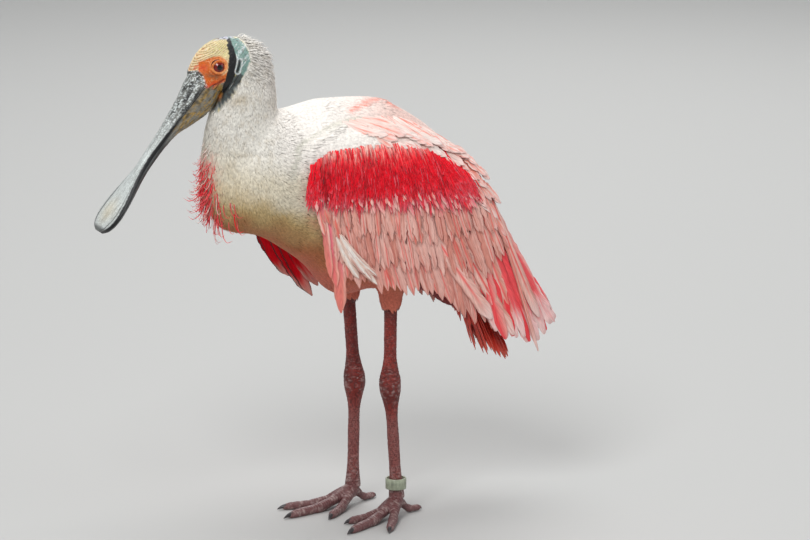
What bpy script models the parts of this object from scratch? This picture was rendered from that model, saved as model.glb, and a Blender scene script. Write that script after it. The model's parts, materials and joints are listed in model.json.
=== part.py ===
"""Roseate spoonbill, standing with its neck drawn in, at life size.

Metres, +Z up. The bird faces -X and its left side is -Y. Sizes are written in millimetres
and multiplied by MM. The body is a row of egg-shaped sections along a path in its middle
plane; the wings lie on a smooth side surface that is described by its distance below the
line of the back. Every feather is a thin closed vane whose root is sunk into the body it
grows from. At the end everything is moved so that the origin is the middle of the bird's
box, on the floor.
"""

import math

import bmesh
import bpy
import numpy as np

MM = 0.001
GAP = 0.35 * MM
SLIVER = 0.02 * MM
LEFT, RIGHT = -1, 1
SIDES = {LEFT: "left", RIGHT: "right"}
OBJECT_NAME = "roseate_spoonbill"

# Driving sizes, in millimetres.
BILL_LENGTH = 167.0
BILL_PITCH = math.radians(52.6)
BILL_BASE = (-174.0, 428.0)
EYE_RADIUS = 7.6
EYE_CENTRE = (-161.7, 13.6, 446.7)
LEG_SPREAD = 28.0
TIBIA_TOP = 220.0
HOCK_HEIGHT = {LEFT: 130.0, RIGHT: 123.0}
ANKLE_HEIGHT = 18.0
TIBIA_X = {LEFT: 7.0, RIGHT: -15.0}
HOCK_X = {LEFT: 6.0, RIGHT: -8.0}
ANKLE_X = {LEFT: 13.0, RIGHT: -10.0}
WING_MOST_WIDTH = 69.5
WING_WIDEST_X = 5.0
TORSO_ROWS, TORSO_AROUND = 20, 24
NECK_ROWS, NECK_AROUND = 12, 20
HEAD_ROWS, HEAD_AROUND = 14, 20

# Sections: x, z, radius above, radius below, half width.
TORSO = (
    (-171, 331, 4, 4, 4),
    (-168, 331, 17, 17, 17),
    (-157, 331, 35, 30, 33),
    (-140, 328, 54, 43, 46),
    (-110, 326, 72, 49, 55),
    (-78, 321, 86, 64, 60),
    (-52, 318, 91, 81, 62),
    (-28, 313, 97, 96, 62),
    (20, 296, 86, 91, 58),
    (60, 267, 63, 62, 47),
    (88, 234, 40, 43, 34),
    (103, 209, 26, 29, 24),
    (108, 200, 17, 17, 16),
    (110, 196, 5, 5, 5),
)
NECK = (
    (-115, 289, 16, 16, 16),
    (-119, 300, 36, 30, 30),
    (-124, 312, 43, 40, 37),
    (-127, 326, 46, 42, 38),
    (-132, 350, 43, 40, 36),
    (-134, 378, 37, 37, 31),
    (-132, 400, 32, 35, 27),
    (-129, 420, 28, 32, 24),
    (-129, 438, 24, 26, 20),
    (-131, 452, 16, 18, 14),
    (-132, 458, 5, 6, 5),
)
HEAD = (
    (-178, 423, 9, 10, 10),
    (-174, 428, 14.6, 16, 14.5),
    (-169, 434.5, 18.2, 21, 16.5),
    (-161, 441, 23.0, 25, 19),
    (-150, 445, 25.5, 27, 20.5),
    (-138, 444, 26, 26, 20),
    (-127, 441, 23, 22, 18),
    (-118, 435, 17, 15, 13),
    (-113, 430, 4, 4, 4),
)
# The bill along its length: distance, half width, height of the upper half, depth of the lower.
BILL = (
    (-6, 15.0, 15.0, 20.0),
    (8, 14.0, 13.0, 23.0),
    (22, 11.6, 10.4, 21.0),
    (36, 9.8, 8.8, 15.5),
    (50, 8.8, 7.6, 9.0),
    (65, 7.8, 6.8, 6.4),
    (85, 7.6, 6.0, 5.0),
    (100, 9.6, 5.2, 4.4),
    (113, 14.6, 4.6, 4.0),
    (126, 20.4, 4.1, 3.6),
    (138, 24.4, 3.8, 3.4),
    (149, 25.4, 3.7, 3.3),
    (158, 21.8, 3.5, 3.1),
    (164, 14.6, 3.0, 2.7),
    (167, 7.0, 2.2, 2.0),
)
BILL_PARTING = 0.21
BILL_GROOVE_PLACE, BILL_GROOVE_WIDTH, BILL_GROOVE_DEPTH = 0.76, 0.07, 0.16
# Nostril: distance along the bill, sideways, height; and its half sizes in the same order.
NOSTRIL, NOSTRIL_SIZE = (17.6, 9.4, 7.4), (4.6, 1.6, 1.3)
# Openings in the skin of the head as (x, y, z), half sizes, and turn about the side axis.
GAPE, GAPE_SIZE, GAPE_TURN = (-165.0, 17.4, 430.0), (10.0, 2.8, 1.0), math.radians(-18)
EAR, EAR_SIZE, EAR_TURN = (-143.5, 20.8, 444.5), (1.3, 2.4, 5.6), math.radians(8)
# Lid opening, as angles from the eye's axis along and up, and the thickness of the lid.
LID_ANGLES, LID_RADIUS = (math.radians(54), math.radians(45)), 1.35
# Line of the back: x and height.
BACK_LINE = (
    (-140, 372),
    (-100, 397),
    (-50, 407),
    (0, 406),
    (25, 397),
    (50, 382),
    (75, 364),
    (100, 340),
    (120, 305),
    (140, 264),
    (160, 226),
    (192, 170),
)
CORE_X = (-92.0, 90.0)
CORE_TOP, CORE_DROP, CORE_DEPTH = 16.0, 110.0, 11.0
CORE_LOWEST = ((-92, 310), (-60, 298), (90, 298))
VANE_THICKNESS, VANE_TIP_THICKNESS = 1.0, 0.6
# Tiers of wing feathers: how many, line of the roots and line of the tips as (x, z), width,
# height over the wing at root and tip, roll, extra rise along the tier, raggedness.
TIERS = (
    (
        15,
        ((-62, 316), (0, 314), (60, 309), (80, 314), (83, 327)),
        ((-46, 240), (-4, 230), (34, 225), (62, 208), (88, 190), (122, 168), (150, 165), (180, 178)),
        19.5, (-4.0, 0.5), 0.11, 6.0, 1.5,
    ),
    (
        9,
        ((-66, 322), (0, 326), (66, 320), (80, 332)),
        ((-54, 266), (0, 252), (50, 248), (92, 238), (115, 254)),
        20.0, (-1.5, 4.0), 0.09, 1.0, 3.0,
    ),
    (
        7,
        ((-70, 338), (0, 346), (70, 336)),
        ((-66, 296), (0, 284), (50, 284), (100, 282)),
        21.0, (-1.5, 6.0), 0.08, 0.0, 3.0,
    ),
    (
        7,
        ((-72, 360), (0, 368), (64, 348)),
        ((-76, 322), (0, 318), (50, 318), (92, 308)),
        20.0, (-1.5, 7.0), 0.08, 0.0, 2.0,
    ),
    (
        8,
        ((-50, 380), (0, 384), (40, 372), (70, 350)),
        ((-20, 350), (20, 346), (60, 338), (88, 326), (102, 320)),
        15.5, (-1.5, 3.5), 0.09, 0.5, 2.0,
    ),
)
# Single feathers of the wrist that hang below the front edge: root, tip, width, heights.
HANGING = {
    LEFT: (
        ((-72, 322), (-62, 236), 11.0, (0.0, 1.0)),
        ((-66, 318), (-54, 210), 12.0, (-0.5, -1.0)),
    ),
    RIGHT: (
        ((-76, 324), (-92, 262), 12.0, (0.5, 1.0)),
        ((-73, 322), (-79, 238), 12.0, (0.0, 0.0)),
        ((-70, 320), (-61, 216), 12.0, (-0.5, -1.0)),
        ((-64, 316), (-41, 202), 12.0, (-1.0, -3.0)),
    ),
}
# Tail: the core's rows as x, z, half thickness, half width.
TAIL_CORE = ((92, 232, 12, 17), (96, 208, 12, 21), (103, 186, 5, 22), (108, 172, 1.6, 20))
TAIL_FEATHERS = 12
TAIL_ROOT, TAIL_TIP = (100.0, 218.0), (124.0, 145.0)
TAIL_ROOT_SPREAD, TAIL_TIP_SPREAD = 13.0, 32.0
# How far the outer tail feathers lie forward at root and tip, and how much shorter they are.
TAIL_DROOP = (10.0, 28.0, 7.0)
TAIL_VANE_WIDTH, TAIL_VANE_THICKNESS, TAIL_ROLL = 13.0, 0.8, 0.24
# Tail coverts: how many, root and tip as (x, z), half spread at root and tip, width.
TAIL_COVERTS = (
    (3, (104, 212), (121, 178), (10, 15), 12.0),
    (4, (86, 212), (88, 173), (13, 22), 14.0),
)
# Breast plumes on the torso: row along the body and share of a turn round it from the top.
BREAST_PLUMES = (
    (1, 0.50), (2, 0.38), (2, 0.46), (2, 0.54), (2, 0.62), (3, 0.35),
    (3, 0.42), (3, 0.50), (3, 0.58), (4, 0.46), (4, 0.54), (5, 0.50),
)
NECK_PLUMES = ((2, 0.94), (2, 0.06), (3, 0.0), (4, 0.95), (4, 0.05), (5, 0.0))
PLUME_LENGTH, PLUME_WIDTH, PLUME_THICKNESS = 15.0, 2.4, 1.1
# Each toe: heading from straight ahead in degrees, length, radius.
TOES = {
    LEFT: ((-14, 62, 4.6), (-36, 88, 5.2), (-62, 70, 4.6), (158, 33, 3.8)),
    RIGHT: ((-48, 66, 4.6), (-20, 88, 5.2), (4, 76, 4.6), (150, 36, 3.8)),
}
TOE_REACH = (0.0, 0.16, 0.34, 0.5, 0.66, 0.82, 0.92, 1.0)
TOE_HEIGHT = (15.0, 12.5, 7.6, 4.6, 3.9, 3.6, 2.6, 1.0)
TOE_SWELL = (1.5, 1.25, 0.95, 1.02, 0.86, 0.84, 0.5, 0.22)
WEB_REACH, WEB_THICKNESS = 0.42, 1.8
BAND_INNER, BAND_OUTER, BAND_HEIGHT, BAND_PLACE = 8.4, 10.0, 12.0, 0.13

PINK, WHITE, RED = (0.86, 0.42, 0.42), (0.90, 0.86, 0.80), (0.75, 0.02, 0.04)
LEG_RED, BILL_GREY, SKIN = (0.33, 0.10, 0.10), (0.55, 0.57, 0.55), (0.72, 0.68, 0.36)
EYE_RED, BAND_GREEN = (0.35, 0.01, 0.02), (0.55, 0.62, 0.50)


def smooth(knots, values, at):
    """Cubic curve through the values at the knots, with slopes taken from the neighbours."""
    knots = np.asarray(knots, float)
    values = np.asarray(values, float).reshape(len(knots), -1)
    at = np.atleast_1d(np.asarray(at, float))
    slope = np.gradient(values, knots, axis=0)
    low = np.clip(np.searchsorted(knots, at, side="right") - 1, 0, len(knots) - 2)
    step = (knots[low + 1] - knots[low])[:, None]
    t = (at - knots[low])[:, None] / step
    square, cube = t * t, t * t * t
    return (
        (2 * cube - 3 * square + 1) * values[low]
        + (cube - 2 * square + t) * step * slope[low]
        + (3 * square - 2 * cube) * values[low + 1]
        + (cube - square) * step * slope[low + 1]
    )


def along_line(knots, count):
    """Points set evenly along a smooth line through the knots, as rows of (x, z)."""
    knots = np.array(knots, float)
    run = np.append(0, np.cumsum(np.hypot(*np.diff(knots, axis=0).T)))
    fine = smooth(run, knots, np.linspace(0, run[-1], 200))
    along = np.append(0, np.cumsum(np.hypot(*np.diff(fine, axis=0).T)))
    at = np.linspace(0, along[-1], count)
    return np.stack([np.interp(at, along, fine[:, 0]), np.interp(at, along, fine[:, 1])], 1)


def material(name, colour, roughness=0.6, metallic=0.0):
    """A plain surface of one colour."""
    made = bpy.data.materials.get(name) or bpy.data.materials.new(name)
    made.use_nodes = True
    shader = made.node_tree.nodes["Principled BSDF"]
    shader.inputs["Base Color"].default_value = (*colour, 1)
    shader.inputs["Roughness"].default_value = roughness
    shader.inputs["Metallic"].default_value = metallic
    return made


def parts_collection():
    """The collection that holds the finished bird."""
    made = bpy.data.collections.get(OBJECT_NAME)
    if made is None:
        made = bpy.data.collections.new(OBJECT_NAME)
        bpy.context.scene.collection.children.link(made)
    return made


def mesh_object(name, points, faces, finish=None):
    """An object from points and faces, in triangles whose normals point outwards."""
    mesh = bpy.data.meshes.new(name)
    mesh.from_pydata([tuple(p) for p in points], [], [tuple(f) for f in faces])
    work = bmesh.new()
    work.from_mesh(mesh)
    bmesh.ops.triangulate(work, faces=work.faces)
    bmesh.ops.recalc_face_normals(work, faces=work.faces)
    if work.calc_volume(signed=True) < 0:
        bmesh.ops.reverse_faces(work, faces=work.faces)
    work.to_mesh(mesh)
    work.free()
    mesh.shade_smooth()
    made = bpy.data.objects.new(name, mesh)
    parts_collection().objects.link(made)
    if finish:
        made.data.materials.append(finish)
    return made


def closed_rings(name, rings, finish=None):
    """A closed body through rings of points, each end closed by a fan on the ring's centre."""
    rows, around = rings.shape[:2]
    points = list(rings.reshape(-1, 3)) + [rings[0].mean(0), rings[-1].mean(0)]
    here = np.arange(around)
    after = (here + 1) % around
    faces = []
    for row in range(rows - 1):
        first, second = row * around, (row + 1) * around
        faces += list(zip(first + here, first + after, second + after, second + here))
    start, end = rows * around, rows * around + 1
    last = (rows - 1) * around
    faces += list(zip(here, after, [start] * around))
    faces += list(zip(last + here, last + after, [end] * around))
    return mesh_object(name, points, faces, finish)


def closed_tube(name, rings):
    """A closed body through four-cornered rings, split alike on both its flat faces."""
    rows = len(rings)
    faces = [(0, 1, 2), (0, 2, 3)]
    for row in range(rows - 1):
        a, b = 4 * row, 4 * row + 4
        faces += [(a, a + 1, b + 1), (a, b + 1, b)]
        faces += [(a + 3, a + 2, b + 2), (a + 3, b + 2, b + 3)]
        faces += [(a + 1, a + 2, b + 2), (a + 1, b + 2, b + 1)]
        faces += [(a, a + 3, b + 3), (a, b + 3, b)]
    last = 4 * (rows - 1)
    faces += [(last, last + 1, last + 2), (last, last + 2, last + 3)]
    return mesh_object(name, rings.reshape(-1, 3), faces)


def ball(name, centre, radii, rows, around, turn=0.0, finish=None):
    """An ellipsoid with its poles on the side axis, turned about that axis."""
    polar = np.linspace(0.14, math.pi - 0.14, rows)[:, None]
    angle = np.linspace(0, 2 * math.pi, around, endpoint=False)[None]
    x = radii[0] * np.sin(polar) * np.cos(angle)
    z = radii[2] * np.sin(polar) * np.sin(angle)
    y = radii[1] * np.cos(polar) + 0 * angle
    turned = np.stack(
        [
            x * math.cos(turn) + z * math.sin(turn),
            y,
            z * math.cos(turn) - x * math.sin(turn),
        ],
        -1,
    )
    return closed_rings(name, (turned + np.array(centre)) * MM, finish)


def egg_rings(stations, along, around):
    """Egg-shaped sections square to a smooth path in the middle plane."""
    rows = np.array(stations, float) * MM
    run = np.append(0, np.cumsum(np.hypot(*np.diff(rows[:, :2], axis=0).T)))
    at = np.linspace(0, run[-1], along)
    x, z, above, below, half = smooth(run, rows, at).T
    way = np.gradient(np.stack([x, z], 1), at, axis=0)
    way /= np.linalg.norm(way, axis=1)[:, None]
    turn = np.linspace(0, 2 * math.pi, around, endpoint=False)
    rise = np.cos(turn) * np.where(np.cos(turn) > 0, above[:, None], below[:, None])
    side = np.sin(turn) * half[:, None]
    return np.stack(
        [x[:, None] - way[:, 1:] * rise, side, z[:, None] + way[:, :1] * rise], 2
    )


def tube_rings(path, radii, around):
    """Round sections along any path in space."""
    path = np.asarray(path, float)
    way = np.gradient(path, axis=0)
    way /= np.linalg.norm(way, axis=1)[:, None]
    side = np.cross(way, [0, 0.35, 1.0])
    side /= np.linalg.norm(side, axis=1)[:, None]
    up = np.cross(side, way)
    turn = np.linspace(0, 2 * math.pi, around, endpoint=False)[None, :, None]
    wide = np.asarray(radii)[:, None, None]
    return path[:, None] + (np.cos(turn) * side[:, None] + np.sin(turn) * up[:, None]) * wide


def vane_rings(path, flat_way, width, thick):
    """Four-cornered sections of a feather along a path; flat_way is the way its width lies."""
    way = np.gradient(path, axis=0)
    out = np.cross(way, flat_way)
    out /= np.linalg.norm(out, axis=1)[:, None]
    half = np.asarray(flat_way) * (np.asarray(width) / 2)[:, None]
    deep = out * (np.asarray(thick) / 2)[:, None]
    corners = [path - half - deep, path + half - deep, path + half + deep, path - half + deep]
    return np.stack(corners, 1)


def grown(body, by=GAP):
    """A copy of the body swollen by the clearance, for cutting its neighbours."""
    copy = body.copy()
    copy.data = body.data.copy()
    bpy.context.scene.collection.objects.link(copy)
    points = np.empty(len(copy.data.vertices) * 3)
    copy.data.vertices.foreach_get("co", points)
    normals = np.empty_like(points)
    copy.data.vertices.foreach_get("normal", normals)
    copy.data.vertices.foreach_set("co", points + normals * by)
    return copy


def without_slivers(body):
    """Merges corners closer than SLIVER, unless that would open the surface."""
    work = bmesh.new()
    work.from_mesh(body.data)
    bmesh.ops.remove_doubles(work, verts=work.verts, dist=SLIVER)
    bmesh.ops.dissolve_degenerate(work, edges=work.edges, dist=SLIVER)
    if all(edge.is_manifold for edge in work.edges):
        work.to_mesh(body.data)
    work.free()


def combine(body, others, operation):
    """One applied Boolean with a collection of closed meshes, which are then removed."""
    group = bpy.data.collections.new(body.name + "_cutters")
    bpy.context.scene.collection.children.link(group)
    for other in others:
        other.hide_render = True
        other.display_type = "WIRE"
        for old in list(other.users_collection):
            old.objects.unlink(other)
        group.objects.link(other)
    modifier = body.modifiers.new("join", "BOOLEAN")
    modifier.operation = operation
    modifier.operand_type = "COLLECTION"
    modifier.collection = group
    modifier.solver = "MANIFOLD"
    graph = bpy.context.evaluated_depsgraph_get()
    mesh = bpy.data.meshes.new_from_object(body.evaluated_get(graph))
    body.modifiers.clear()
    body.data = mesh
    for other in list(group.objects):
        bpy.data.objects.remove(other)
    bpy.data.collections.remove(group)
    keep_largest(body)
    return body


def keep_largest(body):
    """Keeps the largest closed surface of a mesh."""
    work = bmesh.new()
    work.from_mesh(body.data)
    left, islands = set(work.verts), []
    while left:
        seed = left.pop()
        island, edge = {seed}, [seed]
        while edge:
            vert = edge.pop()
            for link in vert.link_edges:
                other = link.other_vert(vert)
                if other not in island:
                    island.add(other)
                    edge.append(other)
        left -= island
        islands.append(island)
    islands.sort(key=spread, reverse=True)
    loose = [v for island in islands[1:] for v in island]
    bmesh.ops.delete(work, geom=loose, context="VERTS")
    work.to_mesh(body.data)
    work.free()


def spread(island):
    """The diagonal of the box of a set of vertices."""
    places = np.array([v.co for v in island])
    return np.linalg.norm(places.max(0) - places.min(0))


def cut_clear(body, neighbours):
    """Cuts a body back from its neighbours so that they meet with the clearance."""
    return combine(body, [grown(n) for n in neighbours], "DIFFERENCE")


def plume(rings, row, share):
    """A flat lock that leaves the skin downwards and hooks forward and up at its tip.

    rings are the sections of the body it grows on; row and share say where on them.
    """
    around = rings.shape[1]
    place = int(round(share * around)) % around
    here = rings[row, place]
    along = rings[row + 1, place] - rings[row - 1, place]
    across = rings[row, (place + 1) % around] - rings[row, place - 1]
    out = np.cross(along, across)
    out /= np.linalg.norm(out)
    if out @ (here - rings[row + 3].mean(0)) < 0:
        out = -out
    ahead, down = np.array([-1.0, 0, 0]), np.array([0, 0, -1.0])
    size = PLUME_LENGTH * MM * (0.85 + 0.3 * math.sin(5.1 * row + 17.0 * share) ** 2)
    out_by = np.array([-0.35, 0.2, 0.42, 0.46, 0.36])
    ahead_by = np.array([0.0, 0.05, 0.22, 0.5, 0.78])
    down_by = np.array([-0.1, 0.3, 0.52, 0.5, 0.2])
    path = here + size * (
        out_by[:, None] * out + ahead_by[:, None] * ahead + down_by[:, None] * down
    )
    wide = PLUME_WIDTH * MM * np.array([1.0, 1.0, 0.85, 0.65, 0.35])
    thick = PLUME_THICKNESS * MM * np.array([1.0, 0.9, 0.85, 0.75, 0.6])
    flat = np.tile(np.array([0.0, 1.0, 0.0]), (5, 1))
    return closed_tube("plume", vane_rings(path, flat, wide, thick))


def feathered_body(name, stations, rows, around, plumes, finish):
    """An egg-ringed body with its plumes grown into it."""
    rings = egg_rings(stations, rows, around)
    body = closed_rings(name, rings, finish)
    return combine(body, [plume(rings, *place) for place in plumes], "UNION")


def lid(side):
    """The ring of skin round the eye, lying on the ball of the eye."""
    turn = np.linspace(0, 2 * math.pi, 12, endpoint=False)
    wide, high = LID_ANGLES
    lean = np.hypot(wide * np.cos(turn), high * np.sin(turn))
    away = EYE_RADIUS + 0.25 * LID_RADIUS
    ring = np.stack(
        [
            away * np.sin(lean) * np.cos(turn),
            side * away * np.cos(lean),
            away * np.sin(lean) * np.sin(turn),
        ],
        1,
    )
    inward = -np.stack([np.cos(turn), 0 * turn, np.sin(turn)], 1)
    outward = ring / np.linalg.norm(ring, axis=1)[:, None]
    section = np.linspace(0, 2 * math.pi, 5, endpoint=False)[None, :, None]
    tube = ring[:, None] + LID_RADIUS * (
        np.cos(section) * inward[:, None] + np.sin(section) * outward[:, None]
    )
    centre = np.array([EYE_CENTRE[0], side * EYE_CENTRE[1], EYE_CENTRE[2]])
    rows, around = tube.shape[:2]
    faces = [
        (a * around + b, a * around + (b + 1) % around,
         (a + 1) % rows * around + (b + 1) % around, (a + 1) % rows * around + b)
        for a in range(rows)
        for b in range(around)
    ]
    return mesh_object("lid", (tube + centre).reshape(-1, 3) * MM, faces)


def head(eyes):
    """The bare head: an egg with lids, the corner of the mouth and the ear openings."""
    skin = material("skin", SKIN)
    made = closed_rings("head", egg_rings(HEAD, HEAD_ROWS, HEAD_AROUND), skin)
    combine(made, [lid(LEFT), lid(RIGHT)], "UNION")
    cutters = []
    for side in SIDES:
        flip = np.array([1, side, 1])
        cutters.append(ball("gape", GAPE * flip, GAPE_SIZE, 5, 8, GAPE_TURN))
        cutters.append(ball("ear", EAR * flip, EAR_SIZE, 5, 8, EAR_TURN))
    combine(made, cutters, "DIFFERENCE")
    return cut_clear(made, eyes)


def bill_frame():
    """Origin and directions of the bill: along it, and square to it upwards."""
    along = np.array([-math.cos(BILL_PITCH), 0, -math.sin(BILL_PITCH)])
    above = np.array([-math.sin(BILL_PITCH), 0, math.cos(BILL_PITCH)])
    origin = np.array([BILL_BASE[0], 0, BILL_BASE[1]])
    return origin, along, above


def bill_half(name, upper):
    """One mandible: flat on the mouth side; the upper has a groove along each edge."""
    origin, along, above = bill_frame()
    distance, half, high, deep = np.array(BILL, float).T
    at = np.concatenate([np.linspace(-6, 106, 10), np.linspace(115, BILL_LENGTH, 9)])
    half, high, deep = smooth(distance, np.stack([half, high, deep], 1), at).T
    across = np.array([-1, -0.9, -0.76, -0.62, -0.35, 0, 0.35, 0.62, 0.76, 0.9, 1])
    dome = np.sqrt(np.clip(1 - across**2, 0.06, 1))
    if upper:
        beside = (np.abs(across) - BILL_GROOVE_PLACE) / BILL_GROOVE_WIDTH
        dome = dome - BILL_GROOVE_DEPTH * np.exp(-(beside**2))
    rise, sign = (high, 1) if upper else (deep, -1)
    parting = BILL_PARTING * sign
    outside = parting + sign * rise[:, None] * dome
    mouth_across = np.array([0.94, -0.94])
    sideways = half[:, None] * np.concatenate([across, mouth_across])
    height = np.concatenate([outside, np.full((len(at), 2), parting)], 1)
    rings = (
        origin
        + at[:, None, None] * along
        + height[..., None] * above
        + sideways[..., None] * np.array([0, 1.0, 0])
    )
    return closed_rings(name, rings * MM, material("bill", BILL_GREY, 0.45))


def nostril(side):
    """The slit beside the ridge of the upper bill, near its base."""
    origin, along, above = bill_frame()
    distance, sideways, height = NOSTRIL
    centre = origin + distance * along + height * above + np.array([0, side * sideways, 0])
    return ball("nostril", centre, NOSTRIL_SIZE, 5, 8, -BILL_PITCH)


def eye(side):
    """The whole ball of the eye."""
    centre = (EYE_CENTRE[0], side * EYE_CENTRE[1], EYE_CENTRE[2])
    size = (EYE_RADIUS, EYE_RADIUS, EYE_RADIUS)
    return ball("eye_" + SIDES[side], centre, size, 8, 12, 0.0, material("eye", EYE_RED, 0.08))


def back_line(x):
    """Height of the line of the back above the floor at x, both in millimetres."""
    knots, heights = zip(*BACK_LINE)
    return smooth(knots, heights, x)[:, 0]


def wing_skin(x, drop):
    """Points on the left wing's outer surface, drop millimetres below the line of the back.

    The half width follows a round front and a slimmer rear, and the section is round
    at the back and nearly upright below.
    """
    top = back_line(x.ravel()).reshape(x.shape)
    front = np.sqrt(np.clip(1 - ((x - WING_WIDEST_X) / 178) ** 2, 0.05, 1))
    rear = 1 - np.clip((x - WING_WIDEST_X) / 205, 0, 1) ** 1.8 * 0.86
    half = WING_MOST_WIDTH * np.where(x < WING_WIDEST_X, front, rear)
    shoulder = np.sqrt(np.clip(1 - (1 - np.clip(drop / 78, 0.002, 1)) ** 2, 0, 1))
    below = 1 - 0.16 * np.clip((drop - 78) / 110, 0, 1.5) ** 1.5
    return np.stack([x, -half * shoulder * below, top - drop], -1)


def wing_surface(x, drop, lift=0.0):
    """The same surface, moved out by lift millimetres along its normal."""
    x, drop, lift = np.broadcast_arrays(
        np.asarray(x, float), np.asarray(drop, float), np.asarray(lift, float)
    )
    step = 0.5
    along = wing_skin(x + step, drop) - wing_skin(x - step, drop)
    down = wing_skin(x, drop + step) - wing_skin(x, drop - step)
    normal = np.cross(down, along)
    normal /= np.linalg.norm(normal, axis=-1)[..., None]
    return wing_skin(x, drop) + normal * lift[..., None]


def wing_vane(side, root, tip, width, lifts, roll, bow=0.0):
    """A feather on the wing's surface, from root to tip, both given as (x, z).

    lifts are its heights over the surface at root and tip. roll raises its front edge over
    the feather before it. bow bends it sideways in the plane of the wing.
    """
    stations = np.array((0, 0.4, 0.82, 1.0))
    shape = np.array((0.6, 1.0, 0.88, 0.3))
    start, end = np.array(root, float), np.array(tip, float)
    way = (end - start) / np.linalg.norm(end - start)
    beside = np.array([way[1], -way[0]])
    bend = bow * np.sin(math.pi * stations)
    middle = start + (end - start) * stations[:, None] + beside * bend[:, None]
    lift = lifts[0] + (lifts[1] - lifts[0]) * stations
    thick = np.interp(stations, (0, 0.8, 1), (VANE_THICKNESS, 0.9, VANE_TIP_THICKNESS))
    corners = []
    for edge, face in ((-1, -1), (1, -1), (1, 1), (-1, 1)):
        place = middle + beside * (edge * width * shape / 2)[:, None]
        drop = back_line(place[:, 0]) - place[:, 1]
        raised = lift - edge * roll * width * shape / 2 + face * thick / 2
        corners.append(wing_surface(place[:, 0], drop, raised))
    rings = np.stack(corners, 1)
    rings[..., 1] *= -side
    return closed_tube("vane", rings * MM)


def wing_core(side):
    """The folded wing's flesh and down as a slab with rounded rims under the feathers."""
    x = np.linspace(*CORE_X, 12)
    share = np.linspace(0, 1, 6)
    lowest = np.interp(x, *zip(*CORE_LOWEST))
    end = np.minimum(CORE_DROP, back_line(x) - lowest)
    drop = CORE_TOP + (end - CORE_TOP)[:, None] * share
    rim = np.minimum(
        np.minimum(share, 1 - share)[None] * 5,
        np.minimum((x - x[0]), (x[-1] - x))[:, None] / 12,
    )
    rim = np.sqrt(np.clip(rim, 0.05, 1))
    grid = np.broadcast_to(x[:, None], drop.shape)
    half = CORE_DEPTH / 2
    outer = wing_surface(grid, drop, half * (rim - 1))
    inner = wing_surface(grid, drop, -half * (rim + 1))
    rings = np.concatenate([outer, inner[:, ::-1]], axis=1)
    rings[..., 1] *= -side
    return closed_rings("wing_" + SIDES[side], rings * MM, material("feather_pink", PINK))


def wing(side):
    """Core and tiers of feathers: each tier's roots and tips follow two smooth lines."""
    draw = np.random.default_rng(11)
    vanes = []
    for count, roots, tips, width, lifts, roll, rise, ragged in TIERS:
        starts, ends = along_line(roots, count), along_line(tips, count)
        for k in range(count):
            end = ends[k] + draw.uniform(-ragged, ragged, 2)
            wide = width * draw.uniform(0.96, 1.06)
            heights = (lifts[0], lifts[1] + rise * k / count)
            vanes.append(wing_vane(side, starts[k], end, wide, heights, roll, wide * 0.12))
    for root, tip, width, lifts in HANGING[side]:
        vanes.append(wing_vane(side, root, tip, width, lifts, 0.0))
    return combine(wing_core(side), vanes, "UNION")


def tail_vane(root, tip, width, thick, roll):
    """A straight feather of the tail, tilted by roll so that its outer edge is raised."""
    stations = np.array((0, 0.45, 0.85, 1.0))
    root, tip = np.array(root, float), np.array(tip, float)
    path = root + (tip - root) * stations[:, None]
    way = (tip - root) / np.linalg.norm(tip - root)
    side = np.array([0, 1.0, 0]) - way * way[1]
    side /= np.linalg.norm(side)
    out = np.cross(way, side)
    flat = side + out * roll
    flat /= np.linalg.norm(flat)
    wide = width * np.array([0.7, 1.0, 0.9, 0.4])
    deep = thick * np.array([1.0, 1.0, 0.9, 0.75])
    return closed_tube("vane", vane_rings(path, np.tile(flat, (4, 1)), wide, deep) * MM)


def tail():
    """A short core with the fan of tail feathers and its coverts above and below."""
    turn = np.linspace(0, 2 * math.pi, 16, endpoint=False)
    rings = np.array(
        [
            np.stack([x + thick * np.cos(turn), wide * np.sin(turn), z + 0 * turn], 1)
            for x, z, thick, wide in TAIL_CORE
        ]
    )
    made = closed_rings("tail", rings * MM, material("feather_red", RED))
    vanes = []
    for k in range(TAIL_FEATHERS):
        share = 2 * k / (TAIL_FEATHERS - 1) - 1
        middle_pair = 1.4 if k == TAIL_FEATHERS // 2 else 0.0
        forward, ahead, higher = (amount * share**2 for amount in TAIL_DROOP)
        root = (TAIL_ROOT[0] + middle_pair - forward, share * TAIL_ROOT_SPREAD, TAIL_ROOT[1])
        ragged = 2.5 * math.sin(3.7 * k)
        tip = (
            TAIL_TIP[0] + middle_pair - ahead,
            share * TAIL_TIP_SPREAD,
            TAIL_TIP[1] + higher + ragged,
        )
        roll = math.copysign(TAIL_ROLL, share)
        vanes.append(tail_vane(root, tip, TAIL_VANE_WIDTH, TAIL_VANE_THICKNESS, roll))
    for count, root, tip, (near, far), width in TAIL_COVERTS:
        for share in np.linspace(-1, 1, count):
            start = (root[0], near * share, root[1])
            end = (tip[0], far * share, tip[1] + 6 * share**2)
            roll = math.copysign(0.2, share) if abs(share) > 0.1 else 0.0
            vanes.append(tail_vane(start, end, width, TAIL_VANE_THICKNESS, roll))
    return combine(made, vanes, "UNION")


def leg_path(side):
    """Hip, hock and ankle of one leg."""
    y = side * LEG_SPREAD
    places = (
        (TIBIA_X[side], y, TIBIA_TOP),
        (HOCK_X[side], y, HOCK_HEIGHT[side]),
        (ANKLE_X[side], y, ANKLE_HEIGHT),
    )
    return [np.array(place) * MM for place in places]


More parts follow.
